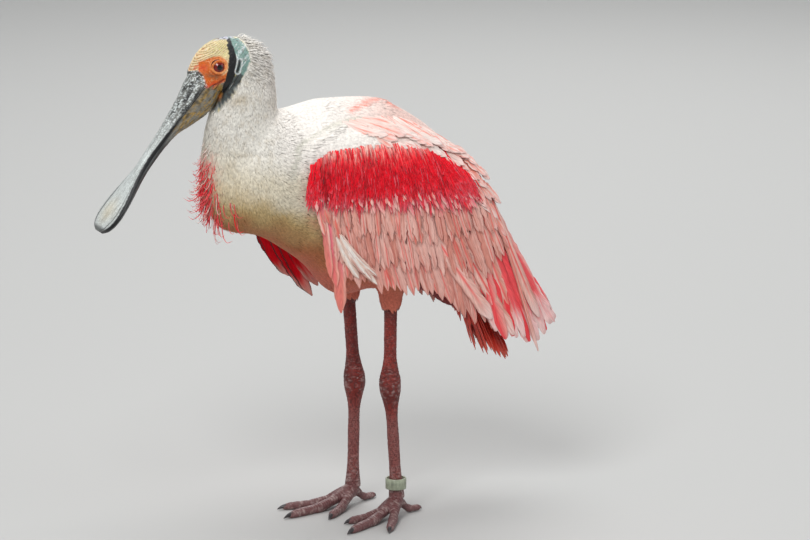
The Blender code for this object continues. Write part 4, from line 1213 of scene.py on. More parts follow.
def body_coat(skin):
    """The small feathers of nape, neck, breast, mantle, belly, vent and thighs."""
    looks = coat_finish("body_feathers", 0.08)
    coarse = 1.0

    def covered(points):
        return 1 - np.maximum(head_share(points), leg_share(points))

    def is_neck(points):
        return covered(points) * (points[:, 2] > NECK_FOOT) * (points[:, 0] < COLLAR_X)

    def is_breast(points):
        return covered(points) * (points[:, 2] <= NECK_FOOT) * (points[:, 0] < COLLAR_X)

    def is_body(points):
        behind = (points[:, 0] > RUMP_X) & (points[:, 2] > RUMP_FOOT)
        kept = (points[:, 2] > THIGH_FOOT) | behind
        return covered(points) * (points[:, 0] >= COLLAR_X) * kept

    def is_flank(points):
        below = points[:, 2] <= MANTLE_FOOT
        return is_body(points) * below * (np.abs(points[:, 1]) < FLANK_HALF)

    # Piece, where it grows, spacing, length, width, lifts at root and tip, rows, seed.
    plans = (
        ("neck_feathers", is_neck, 1.25, 6.0, 1.3, (0.5, 1.0), 3, 51),
        ("breast_feathers", is_breast, 1.6, 9.0, 1.8, (0.6, 1.1), 3, 52),
        ("mantle_feathers", lambda p: is_body(p) * (p[:, 2] > MANTLE_FOOT),
         1.9, 14.0, 3.5, (0.4, 0.6), 4, 53),
        ("belly_feathers", lambda p: is_flank(p) * (p[:, 0] < VENT_X),
         2.1, 12.0, 2.7, (0.5, 0.8), 4, 54),
        ("vent_feathers", lambda p: is_flank(p) * (p[:, 0] >= VENT_X),
         2.1, 12.0, 2.7, (0.5, 0.8), 4, 55),
    )
    for name, keep, spacing, length, width, lift, rows, seed in plans:
        place, out = sow(skin, keep, spacing * coarse, seed)
        draw = np.random.default_rng(seed + 100)
        count = len(place)
        long = length * draw.uniform(0.75, 1.25, count)
        long *= 1 - 0.45 * ramp(place[:, 2], 250, 215)
        wide = width * draw.uniform(0.8, 1.2, count) * coarse
        lie = lie_of(place) + draw.normal(0, 0.08, (count, 3))
        tint = plumage_tint(place + lie_of(place) * 4)
        tint = tint * draw.uniform(0.92, 1.05, (count, 1))
        fluff = draw.uniform(0, 1, count) ** 3 * ramp(place[:, 2], 424, 446)
        rise = lift[1] * (1 + 4.5 * fluff)
        tufts(
            name, place, out, lie, long, wide, looks, tint, (lift[0], rise), rows
        )


# The wing feathers.

ACROSS = np.array([-1, -0.66, -0.33, 0, 0.33, 0.66, 1])


def along_line(knots, count):
    """Points set evenly along a smooth line through the knots, as rows of (x, z)."""
    knots = np.array(knots, float)
    run = np.append(0, np.cumsum(np.hypot(*np.diff(knots, axis=0).T)))
    fine = smooth(run, knots, np.linspace(0, run[-1], 200))
    along = np.append(0, np.cumsum(np.hypot(*np.diff(fine, axis=0).T)))
    at = np.linspace(0, along[-1], count)
    return np.stack([np.interp(at, along, fine[:, 0]), np.interp(at, along, fine[:, 1])], 1)


def vane_shape(draw, count, rows, width, ragged, pointed=0.12):
    """Half widths of many vanes along their length, for both edges, with slits in them."""
    share = np.linspace(0, 1, rows)
    swell = smooth(
        (0, 0.12, 0.45, 0.8, 0.93, 1), (0.38, 0.68, 1, 0.97, 0.74 + 0.5 * pointed, pointed), share
    )[:, 0]
    half = width[:, None, None] / 2 * swell[None, None] * draw.uniform(0.9, 1.1, (count, 2, 1))
    for _ in range(8):
        centre = draw.uniform(0.3, 1.02, (count, 2, 1))
        depth = draw.uniform(0.02, ragged, (count, 2, 1))
        narrow = draw.uniform(0.01, 0.03, (count, 2, 1))
        half = half * (1 - depth * np.exp(-(((share - centre) / narrow) ** 2)))
    return share, half


def wing_vanes(
    draw, side, roots, tips, width, lifts, roll, bow, rows=26, ragged=0.5, stagger=0.6, pointed=0.3
):
    """Many feathers on the wing's surface as shells: rings (count, rows, 12, 3) and shares."""
    count = len(roots)
    share, half = vane_shape(draw, count, rows, width, ragged, pointed)
    step = tips - roots
    long = np.linalg.norm(step, axis=1)
    way = step / long[:, None]
    beside = np.stack([way[:, 1], -way[:, 0]], 1)
    bend = bow[:, None] * np.sin(math.pi * share)[None]
    middle = roots[:, None] + step[:, None] * share[None, :, None]
    middle = middle + beside[:, None] * bend[..., None]
    reach = np.where(ACROSS < 0, half[:, 0, :, None], half[:, 1, :, None]) * ACROSS
    slant = -np.abs(ACROSS) * 0.5 * np.sqrt(share[None, :, None]) * np.abs(reach)
    place = (
        middle[:, :, None]
        + beside[:, None, None] * reach[..., None]
        + way[:, None, None] * slant[..., None]
    )
    raised = lifts[:, :1, None] + (lifts[:, 1:] - lifts[:, :1])[..., None] * share[None, :, None]
    raised = raised - roll[:, None, None] * reach
    raised = raised - 0.05 * reach**2 / np.maximum(width[:, None, None], 1) * 1.5
    raised = raised + 0.35 * np.exp(-((ACROSS / 0.16) ** 2)) * (1 - 0.6 * share[None, :, None])
    flutter = draw.normal(0, 1, (count, 1, 1)) * share[None, :, None] ** 2 * stagger
    raised = raised + flutter
    thick = 0.3 * np.sqrt(np.clip(1 - ACROSS**2, 0, 1)) * (1.25 - share[None, :, None])
    drop = back_line(place[..., 0]) - place[..., 1]
    top = wing_surface(place[..., 0], drop, raised + thick)
    under = wing_surface(place[..., 0], drop, raised - thick)
    guide = unit(wing_surface(place[..., 0], drop, raised + 1) - under)
    rings = np.concatenate([top, under[:, :, -2:0:-1]], axis=2)
    guide = np.concatenate([guide, guide[:, :, -2:0:-1]], axis=2)
    rings[..., 1] *= -side
    guide[..., 1] *= -side
    return rings, share, np.append(ACROSS, ACROSS[-2:0:-1]), guide


def vane_maps(count, share, across, long, width, draw):
    """UV maps of many vanes: the barb pattern, and an even sheet of patches for baking."""
    along = share[None, :, None] * long[:, None, None]
    along, reach = np.broadcast_arrays(along, across[None, None] * width[:, None, None] / 2)
    shift = draw.uniform(0, 90, (count, 1, 1))
    barbs = np.stack([(np.abs(reach) - 0.22 * along + shift) / 10, (along + 3 * shift) / 10], -1)
    columns = int(math.ceil(math.sqrt(count)))
    index = np.arange(count)
    corner = np.stack([index % columns, index // columns], -1)[:, None, None]
    rows, around = len(share), len(across)
    turn = np.arange(around) / around
    local = np.stack(np.broadcast_arrays(turn[None, :], share[:, None]), -1)[None]
    bake = (corner + 0.04 + 0.92 * local) / columns
    bake = np.broadcast_to(bake, (count, rows, around, 2))
    return {"Barbs": barbs.reshape(-1, 2), "OFBake": bake.reshape(-1, 2)}


def covert_tint(kind, share, across, count, draw, place):
    """Colours of a tier of feathers, along and across them."""
    t = share[None, :, None] + np.zeros((count, 1, len(across)))
    signed = across[None, None] + np.zeros((count, len(share), 1))
    signed = signed * np.sign(draw.uniform(-0.5, 1, (count, 1, 1)))
    v = np.abs(signed)
    pick = draw.uniform(0, 1, (count, 1, 1)) + 0 * t
    other = draw.uniform(0, 1, (count, 1, 1)) + 0 * t
    fray = noise(np.stack([t * 6, signed * 4, pick * 31], -1), 1.0, 61)
    streak = noise(np.stack([t * 2.2, signed * 7, pick * 57], -1), 1.0, 63)
    x = place[:, None, None, 0] + 0 * t
    if kind == "under":
        tint = mix(ink("carmine_dark"), ink("maroon"), ramp(pick, 0.3, 0.9))
        return mix(tint, ink("shade_pink"), 0.25 * ramp(t, 0.7, 1.0))
    if kind == "carmine":
        tint = mix(ink("carmine"), ink("carmine_dark"),
            np.clip(0.6 * pick + 0.4 * fray - 0.1, 0, 1))
        return mix(tint, ink("rose"), 0.5 * ramp(t + 0.1 * fray, 0.8, 1.0))
    if kind == "fringe":
        tint = mix(ink("rose"), ink("carmine"), ramp(pick + 0.5 * (1 - t), 0.6, 1.1))
        return mix(tint, ink("blush"), ramp(t + 0.3 * streak + 0.3 * other, 0.75, 1.3))
    if kind == "far":
        tint = mix(ink("maroon"), ink("carmine"), ramp(v + 0.4 * streak, 1.1, 0.5))
        return mix(tint, ink("blush"), ramp(t + 0.1 * fray, 0.72, 0.95) * 0.8)
    if kind == "hanging":
        tint = mix(ink("rose"), ink("blush"), ramp(signed, -0.2, -0.7))
        tint = mix(tint, ink("carmine_dark"), 0.6 * ramp(signed, 0.25, 0.8) * ramp(t, 0.85, 0.6))
        tint = mix(tint, ink("ash_pink"), 0.7 * ramp(streak + 0.3 * t, 0.0, 0.6))
        tint = mix(tint, ink("salmon"), 0.35 * ramp(t, 0.5, 0.8))
        return mix(tint, ink("ash_pink"), ramp(v, 0.75, 1.0) * ramp(t, 0.5, 0.8))
    if kind == "downy":
        tint = mix(ink("downy"), ink("mantle"), ramp(v + 0.3 * fray, 0.5, 0.1))
        return mix(tint, ink("shade_pink"), 0.7 * ramp(streak, 0.15, 0.7))
    if kind == "tertial":
        tint = mix(ink("blush"), ink("ash_pink"), ramp(streak + 0.6 * pick, 0.0, 0.9))
        tint = mix(tint, ink("carmine"),
            0.75 * ramp(v + 0.06 * fray, 0.16, 0.03) * ramp(t, 1, 0.6))
        tint = mix(tint, ink("shade_pink"), 0.6 * ramp(signed + 0.2 * streak, 0.55, 0.95))
        return mix(tint, ink("tip_white"), 0.6 * ramp(t, 0.8, 1.0))
    if kind == "rear":
        tint = mix(ink("coral"), ink("carmine"), np.clip(0.5 * pick + 0.45 * streak, 0, 1))
        tint = mix(tint, ink("maroon"), 0.85 * ramp(t + 0.3 * other, 0.75, 0.35))
        tint = mix(tint, ink("blush"), 0.55 * ramp(signed + 0.5 * streak, 0.0,
                0.6) * (other > 0.2))
        return mix(tint, ink("tip_white"),
            0.8 * ramp(t + 0.12 * fray, 0.78, 0.94) * (other > 0.35))
    if kind == "scapular":
        red = ramp(x, -16, 62)
        tint = mix(ink("mantle"), ink("blush"),
            np.clip(0.3 + 0.5 * pick + 0.4 * streak + 0.3 * red, 0, 1))
        tint = mix(tint, ink("salmon"), 0.75 * ramp(streak + 0.5 * red + 0.25 * pick, 0.42, 0.85))
        tint = mix(tint, ink("carmine_dark"),
            red * 0.8 * ramp(signed + 0.2 * fray, 0.6, 0.95) * (other > 0.4))
        return mix(tint, ink("tip_white"), 0.5 * ramp(t, 0.75, 1.0))
    tint = mix(ink("blush"), ink("ash_pink"), np.clip(0.9 * pick + 0.6 * streak, 0, 1))
    tint = mix(tint, ink("shade_pink"), 0.55 * ramp(streak, 0.2, 0.8))
    # Painted shade: feathers lower on the wing are darkened towards shade pink.
    low = ramp(place[:, None, None, 1] - 70 * t, 300, 235)
    tint = mix(tint, ink("shade_pink"), 0.4 * low * ramp(fray, -0.6, 0.4))
    if kind == "median":
        tint = mix(tint, ink("rose"), 0.7 * ramp(t + 0.15 * fray, 0.62, 0.3))
    tint = mix(tint, ink("carmine"), 0.55 * ramp(v, 0.14, 0.03) * (other > 0.55))
    # Dark red along one edge, as the gap to the next feather: red plumage beneath, darkened with
    # painted shade.
    return mix(tint, ink("carmine_dark"),
        0.8 * ramp(signed + 0.15 * fray, 0.68, 0.98) * ramp(t, 0.95, 0.6))


# Tiers: kind, count, roots, tips, width, lifts at root and tip, roll, ragged ends, slits.
TIERS = (
    ("flight", "under", 26,
     ((-62, 314), (0, 312), (60, 307), (80, 312), (84, 325)),
     ((-48, 246), (-6, 236), (34, 231), (62, 214), (88, 196), (120, 176), (148, 172), (174, 186)),
     15.0, (-3.5, -1.5), 0.05, 3.0, 0.35),
    ("flight", "secondary", 38,
     ((-70, 318), (0, 314), (60, 309), (78, 312)),
     ((-56, 244), (-4, 228), (34, 224), (62, 206), (88, 188), (108, 176)),
     8.0, (-3.0, 0.6), 0.05, 5.0, 0.45),
    ("flight", "rear", 17,
     ((72, 306), (80, 318), (86, 334)),
     ((106, 176), (122, 168), (150, 165), (184, 177)),
     11.0, (-3.0, 2.6), 0.12, 4.0, 0.5),
    ("coverts", "secondary", 44,
     ((-74, 326), (0, 324), (66, 320), (82, 334)),
     ((-64, 266), (0, 252), (50, 245), (90, 236), (118, 252)),
     6.8, (-1.5, 2.0), 0.05, 6.0, 0.5),
    ("coverts", "median", 48,
     ((-80, 338), (0, 338), (66, 333), (84, 346)),
     ((-76, 292), (0, 280), (50, 275), (102, 276)),
     6.0, (-1.5, 3.2), 0.05, 7.0, 0.5),
    ("coverts", "fringe", 90,
     ((-84, 346), (0, 346), (64, 340)),
     ((-82, 318), (0, 310), (44, 306), (88, 302)),
     3.0, (-0.5, 4.0), 0.04, 9.0, 0.4),
)


SINGLES = {
    LEFT: (
        ("hanging", (-78, 334), (-66, 246), 7.0, (1.5, 2.0)),
        ("hanging", (-72, 326), (-60, 236), 9.0, (0.5, 2.0)),
        ("hanging", (-66, 322), (-54, 210), 12.0, (0.0, 0.5)),
        ("downy", (-61, 291), (-34, 249), 6.5, (2.6, 3.6)),
        ("downy", (-62, 286), (-39, 244), 5.5, (2.2, 3.2)),
        ("downy", (-60, 289), (-27, 242), 6.0, (3.0, 4.4)),
        ("downy", (-57, 287), (-21, 237), 6.0, (3.0, 4.2)),
        ("downy", (-55, 283), (-22, 246), 5.5, (3.4, 4.8)),
        ("tertial", (28, 292), (100, 191), 13.0, (-0.5, 3.2)),
        ("tertial", (58, 284), (125, 172), 12.0, (-1.5, 2.8)),
        ("tertial", (84, 292), (133, 176), 11.0, (-1.5, 3.0)),
        ("tertial", (100, 320), (154, 184), 11.0, (-1.0, 4.0)),
        ("tertial", (102, 316), (152, 152), 4.5, (-1.0, 4.4)),
    ),
    RIGHT: (
        ("far", (-98, 280), (-78, 242), 10.0, (0.5, 0.5)),
        ("far", (-98, 286), (-64, 224), 12.0, (0.0, 0.0)),
        ("far", (-92, 290), (-46, 207), 13.0, (-0.5, -1.0)),
        ("far", (-86, 292), (-42, 203), 11.0, (-1.0, -2.0)),
        ("far", (-82, 298), (-36, 212), 13.0, (-1.5, -3.0)),
        ("far", (-76, 298), (-30, 220), 13.0, (-2.0, -3.0)),
        ("tertial", (28, 292), (96, 194), 13.0, (-0.5, 3.2)),
        ("tertial", (58, 284), (121, 174), 12.0, (-1.5, 2.8)),
        ("tertial", (84, 292), (140, 176), 11.0, (-1.5, 3.0)),
    ),
}


def wing(side):
    """The folded wing: flight feathers, coverts in rows, the carmine band and scapulars."""
    draw = np.random.default_rng(11)
    looks = bpy.data.materials.get("wing_vanes") or vane_finish("wing_vanes", 0.08)
    sheets = {}
    plans = []
    for part, kind, count, roots, tips, width, lifts, roll, ragged, slits in TIERS:
        start, end = along_line(roots, count), along_line(tips, count)
        end = end + draw.uniform(-1, 1, (count, 2)) * [0.55 * ragged, ragged]
        start = start + draw.uniform(-1.5, 1.5, (count, 2))
        wide = width * draw.uniform(0.8, 1.2, count)
        height = np.tile(np.array(lifts, float), (count, 1)) + draw.uniform(-0.4, 0.4, (count, 2))
        plans.append((part, kind, start, end, wide, height, roll, slits, 26))
    for kind in sorted({single[0] for single in SINGLES[side]}):
        some = [single for single in SINGLES[side] if single[0] == kind]
        start, end, height = (np.array([single[k] for single in some], float) for k in (1, 2, 4))
        wide = np.array([single[3] for single in some], float)
        plans.append(("long_feathers", kind, start, end, wide, height, 0.06, 0.2, 34))
    count = 120
    start = np.stack([np.linspace(-84, 66, count), draw.uniform(340, 358, count)], 1)
    end = start + np.stack([draw.uniform(0, 8, count), draw.uniform(-22, -16, count)], 1)
    height = np.tile([0.4, 3.6], (count, 1))
    plans.append(("carmine_band", "carmine", start, end, np.full(count, 6.0), height, 0.02, 0.5,
            10))
    root = np.concatenate([along_line(((-46, 392), (0, 394), (40, 380), (72, 356)), 20),
                           along_line(((-34, 386), (8, 385), (50, 366), (78, 345)), 20),
                           along_line(((-30, 376), (20, 373), (60, 354), (84, 330)), 20)])
    tip = np.concatenate([along_line(((-8, 376), (32, 366), (72, 346), (106, 316)), 20),
                          along_line(((-4, 366), (40, 352), (80, 328), (112, 296)), 20),
                          along_line(((4, 356), (52, 336), (88, 308), (114, 266)), 20)])
    count = len(root)
    tip = tip + draw.uniform(-4, 4, tip.shape)
    height = np.stack([-3.5 + np.zeros(count), 3.0 + np.linspace(1.5, 0, count)], 1)
    plans.append(("scapulars", "scapular", root, tip, draw.uniform(5.5, 8.5, count), height, 0.05,
            0.5, 22))
    for part, kind, start, end, wide, height, roll, slits, rows in plans:
        count = len(start)
        bow = wide * 0.3 * draw.uniform(-0.7, 1.4, count)
        rolls = roll * draw.uniform(0.5, 1.5, count)
        blunt = 0.34 if kind in ("tertial", "rear") else 0.14
        rings, share, across, guide = wing_vanes(
            draw, side, start, end, wide, height, rolls, bow, rows, slits, 0.6, blunt
        )
        long = np.linalg.norm(end - start, axis=1)
        tint = covert_tint(kind, share, across, count, draw, start).reshape(-1, 3)
        maps = vane_maps(count, share, across, long, wide, draw)
        points, faces = shells(rings)
        sheets.setdefault(part, []).append((points, faces, tint, maps, guide.reshape(-1, 3)))
    for part, sheet in sheets.items():
        points, faces = joined([(one[0], one[1]) for one in sheet])
        tint, guide = (np.concatenate([one[k] for one in sheet]) for k in (2, 4))
        maps = {"Barbs": np.concatenate([one[3]["Barbs"] for one in sheet])}
        cut = len(sheet)
        maps["OFBake"] = np.concatenate(
            [(one[3]["OFBake"] + [k % 3, k // 3]) / (3 if cut > 1 else 1) for k,
                one in enumerate(sheet)]
        )
        piece(
            part + "_" + SIDES[side], points, faces, looks, ["wing_" + SIDES[side]], tint,
            maps, guide, 0.6,
        )
    carmine_hairs(side)


def carmine_hairs(side):
    """The hair-like ends of the band's feathers: fine strands over its whole width."""
    draw = np.random.default_rng(71)
    count = 2600
    x = draw.uniform(-88, 76, count)
    bundle = noise(np.stack([x, 0 * x, 0 * x], 1), 4.5, 12)
    top = np.interp(x, (-88, -80, -66, -30, 0, 30, 56, 74),
        (344, 358, 366, 370, 370, 362, 349, 335))
    low = np.interp(x, (-88, -66, 0, 60, 74), (336, 330, 330, 324, 320)) + 9 * bundle
    z = low + (top - low) * draw.uniform(0, 1, count) ** 0.8
    slant = np.interp(x, (-88, -20, 40, 74), (-0.15, 0.08, 0.3, 0.5))
    slant = slant + 0.16 * noise(np.stack([x, z, 0 * x], 1), 6.0, 13) + draw.normal(0, 0.07, count)
    way = unit(np.stack([slant, -np.ones(count)], 1))
    long = draw.uniform(11, 27, count) * np.interp(x, (-88, -70), (0.6, 1))
    share = np.linspace(0, 1, 6)
    bow = draw.normal(0, 0.7, count)[:, None] * np.sin(math.pi * share)
    at_x = x[:, None] + way[:, :1] * long[:, None] * share + bow
    at_z = z[:, None] + way[:, 1:] * long[:, None] * share
    rise = 3.9 + 0.9 * (z - 332) / 36 + draw.normal(0, 0.3, count)
    lift = 2.2 + (rise - 2.2)[:, None] * share**0.6
    line = wing_surface(at_x, back_line(at_x) - at_z, lift)
    out = unit(line - wing_surface(at_x, back_line(at_x) - at_z, lift - 1))
    across = unit(np.cross(np.gradient(line, axis=1), out))
    wide = draw.uniform(1.2, 2.6, count)[:, None] * np.array([0.8, 1, 1, 0.8, 0.5, 0.1])
    for part in (line, out, across):
        part[..., 1] *= -side
    low_part = ramp(z + 5 * bundle, 348, 326)
    pick = draw.uniform(0, 1, count)
    dark = np.clip(0.8 * pick + 0.5 * ramp(x, -10, -60) + 0.5 * bundle - 0.55, 0, 1)
    tint = mix(ink("carmine")[None], ink("carmine_dark")[None], dark)
    tint = mix(tint, ink("rose"), (draw.uniform(0, 1, count) > 0.96) * 0.7)
    end = np.clip(low_part + draw.uniform(-0.5, 0.3, count), 0, 1)[:, None] * ramp(share, 0.35, 1)
    shade = mix(tint[:, None] + 0 * share[None, :, None], ink("rose"), end * 0.8)
    edge = ramp(z, 357, 368)[:, None] * ramp(share, 0.8, 0.1) * draw.uniform(0, 1, (count, 1))
    shade = mix(shade, ink("blush"), edge)
    guide = np.concatenate([np.repeat(out[:, :-1], 3, axis=1), out[:, -1:]], 1).reshape(-1, 3)
    points, faces, shade = locks(line, wide, out * 0.7, across, shade)
    spots = np.stack([(x + 100) / 200, (z - 300) / 90], 1)
    piece(
        "carmine_hairs_" + SIDES[side], points, faces, bpy.data.materials["body_feathers"],
        (), shade, {"OFBake": root_patches(spots, 6)}, guide, 0.6,
    )


# Tail.


def free_vanes(draw, roots, tips, flats, width, rows=24, ragged=0.6, bow=0.0):
    """Straight or gently bowed feathers in space, with flats as the way their width lies."""
    count = len(roots)
    share, half = vane_shape(draw, count, rows, width, ragged)
    step = tips - roots
    way = unit(step)
    flat = unit(flats - way * np.einsum("ij,ij->i", flats, way)[:, None])
    out = np.cross(way, flat)
    middle = roots[:, None] + step[:, None] * share[None, :, None]
    middle = middle + out[:, None] * (bow * np.sin(math.pi * share))[None, :, None]
    reach = np.where(ACROSS < 0, half[:, 0, :, None], half[:, 1, :, None]) * ACROSS
    slant = -0.5 * np.abs(ACROSS) * np.sqrt(share)[None, :, None] * np.abs(reach)
    place = (
        middle[:, :, None] + flat[:, None, None] * reach[..., None]
        + way[:, None, None] * slant[..., None]
    )
    cup = 0.4 * np.exp(-((ACROSS / 0.16) ** 2)) - 0.06 * reach**2 / np.maximum(width[:, None,
            None], 1)
    thick = 0.34 * np.sqrt(np.clip(1 - ACROSS**2, 0, 1)) * (1.25 - share[None, :, None])
    top = place + out[:, None, None] * (cup + thick)[..., None]
    under = place + out[:, None, None] * (cup - thick)[..., None]
    rings = np.concatenate([top, under[:, :, -2:0:-1]], axis=2)
    guide = np.broadcast_to(out[:, None, None], rings.shape)
    return rings, share, np.append(ACROSS, ACROSS[-2:0:-1]), guide


def tail():
    """The fan of tail feathers and the coverts above and below it."""
    draw = np.random.default_rng(17)
    looks = vane_finish("tail_vanes", 0.08)
    roots, tips, flats, wide = [], [], [], []
    for k in range(18):
        share = 2 * k / 17 - 1
        roots.append((100 + 1.2 * (k % 2) - 8 * share**2, 13 * share, 220))
        tips.append(
            (137 + 1.2 * (k % 2) - 22 * share**2, 29 * share,
                142 + 7 * share**2 + 3.5 * math.sin(3.7 * k))
        )
        flats.append((0.24 * np.sign(share), 1, 0.0))
        wide.append(9.0)
    for count, root, tip, near, far, width in (
        (16, (90, 214), (111, 150), 13, 30, 8.5),
        (12, (104, 216), (128, 172), 14, 22, 7.5), (14, (86, 216), (97, 176), 15, 24, 7.5),
        (14, (80, 222), (88, 194), 16, 24, 7.0), (12, (66, 228), (70, 206), 16, 24, 7.0),
    ):
        for share in np.linspace(-1, 1, count):
            roots.append((root[0], near * share, root[1]))
            tips.append((tip[0] + draw.uniform(-3, 3), far * share,
                    tip[1] + 6 * share**2 + draw.uniform(-5, 5)))
            flats.append((0.1 * share, 1, 0.0))
            wide.append(width)
    roots, tips, flats, wide = (np.array(part, float) for part in (roots, tips, flats, wide))
    rings, share, across, guide = free_vanes(draw, roots, tips, flats, wide, ragged=0.2)
    count = len(roots)
    t, v = share[None, :, None], np.abs(across)[None, None]
    pick = draw.uniform(0, 1, (count, 1, 1))
    fray = noise(np.stack(np.broadcast_arrays(t * 3, across[None, None] * 6, pick * 31), -1), 1.0,
        62)
    fan = (np.arange(count) < 34)[:, None, None]
    dark = np.clip(0.3 + 0.3 * pick + 0.5 * fray - 0.6 * t + 0.35 * ~fan, 0, 1) + 0 * v
    tint = mix(ink("tail"), ink("maroon"), dark)
    tint = mix(tint, ink("salmon"), ramp(t + 0.15 * fray + 0 * v, 0.8, 1.0) * 0.6 * fan)
    points, faces = shells(rings)
    maps = vane_maps(count, share, across, np.linalg.norm(tips - roots, axis=1), wide, draw)
    piece(
        "tail_feathers", points, faces, looks, ["tail"], tint.reshape(-1, 3), maps,
        guide.reshape(-1, 3), 0.6,
    )


def rump():
    """Rosy feathers sunk in the coat of the rump; their last tips show above the tail."""
    draw = np.random.default_rng(19)
    count = 84
    order = np.linspace(0, 1, count)
    x = 104 - 62 * order + draw.uniform(-3, 3, count)
    y = draw.uniform(-1, 1, count) * np.interp(x, (40, 104), (30, 19))
    high = smooth(
        (20, 60, 88, 103, 108), (382, 330, 274, 235, 216), x
    )[:, 0] - y**2 / np.interp(x, (40, 104), (75, 48)) - 3
    roots = np.stack([x, y, high], 1)
    tips = roots + np.stack([26 + 4 * order, y * 0.10, -44 + 14 * order], 1)
    tips = tips + draw.uniform(-3, 3, (count, 3)) * [1, 0.5, 1]
    flats = np.stack([0 * x, 1 + 0 * x, -y / 32], 1)
    wide = draw.uniform(8, 11, count)
    rings, share, across, guide = free_vanes(draw, roots, tips, flats, wide, ragged=0.2)
    t, v = share[None, :, None], across[None, None]
    pick = draw.uniform(0, 1, (count, 1, 1))
    fray = noise(np.stack(np.broadcast_arrays(t * 3, v * 6, pick * 31), -1), 1.0, 64)
    rear = ramp(x, 50, 100)[:, None, None]
    tint = mix(ink("mantle"), ink("blush"), np.clip(0.2 + 0.5 * rear + 0.4 * fray, 0, 1))
    tint = mix(tint, ink("coral"), np.clip(rear * 0.8 + 0.5 * fray - 0.1, 0, 1))
    points, faces = shells(rings)
    maps = vane_maps(count, share, across, np.linalg.norm(tips - roots, axis=1), wide, draw)
    piece(
        "rump_feathers", points, faces, bpy.data.materials["tail_vanes"], (),
        tint.reshape(-1, 3), maps, guide.reshape(-1, 3), 0.6,
    )


# Bill.


def bill_frame():
    """Origin and directions of the bill: along it, and square to it upwards."""
    along = np.array([-math.cos(BILL_PITCH), 0, -math.sin(BILL_PITCH)])
    above = np.array([-math.sin(BILL_PITCH), 0, math.cos(BILL_PITCH)])
    return np.array([BILL_BASE[0], 0, BILL_BASE[1]]), along, above


def bill_half(name, upper):
    """One half of the bill: a low arch across it, flat on the mouth side, along its sizes."""
    origin, along, above = bill_frame()
    distance, half, high, deep = np.array(BILL, float).T
    at = np.concatenate([np.linspace(-6, 150, 190),
            150 + 17 * np.sin(np.linspace(0.02, 1, 46) * math.pi / 2)])
    half, high, deep = smooth(distance, np.stack([half, high, deep], 1), at).T
    across = np.sin(np.linspace(-math.pi / 2, math.pi / 2, 41))
    rise, sign = (high, 1) if upper else (deep, -1)
    dome = np.sqrt(np.clip(1 - across**2, 0.004, 1))
    flat = np.interp(at, (0, 60, 110, 130), (0, 0.1, 0.5, 0.6))[:, None]
    dome = dome * (1 - flat) + flat * np.clip((1 - np.abs(across)) / 0.16, 0.06, 1) ** 0.6
    if upper:
        groove = np.exp(-(((np.abs(across) - 0.74) / 0.06) ** 2))
        dome = dome - 0.2 * groove * np.interp(at, (0, 20, 150, 163), (0.4, 1, 1, 0))[:, None]
        ridge = np.exp(-((across / 0.12) ** 2)) * np.interp(at, (0, 60, 120), (0.0, 0.08, 0.0))[:,
            None]
        dome = dome + ridge
    height = BILL_PARTING * sign + sign * rise[:, None] * dome
    sideways = half[:, None] * across
    grid = np.stack(np.broadcast_arrays(at[:, None], sideways, height), -1)
    rough = np.interp(at, (0, 40, 90, 167), (1.0, 0.8, 0.35, 0.25))[:, None]
    ripple = noise(np.stack([grid[..., 0] / 2.0, grid[..., 1] / 5.0, 0 * grid[..., 2]], -1), 1.0,
        71)
    warts = noise(grid, 1.6, 72)
    height = height + sign * rough * (0.22 * ripple + 0.3 * warts) * np.clip(1 - across**2, 0,
        1) ** 0.5
    if upper:
        slit = np.hypot((at[:, None] - 17.6) / 5.2, (np.abs(sideways) - 8.8) / 1.4)
        height = height - 1.6 * np.exp(-(slit**2))
    height = np.maximum(height * sign, BILL_PARTING) * sign
    mouth = np.stack(
        np.broadcast_arrays(at[:, None], half[:, None] * 0.97 * across[::-4], BILL_PARTING * sign),
        -1
    )
    grid = np.stack(np.broadcast_arrays(at[:, None], sideways, height), -1)
    rings = np.concatenate([grid, mouth], 1)
    place = (
        origin + rings[..., :1] * along + rings[..., 2:] * above
        + rings[..., 1:2] * np.array([0, 1.0, 0])
    )
    points, faces = shells(place[None])
    return piece(
        name + "_horn", points, faces, BILL_LOOKS, [name],
        bill_tint(rings.reshape(-1, 3), upper),
    )


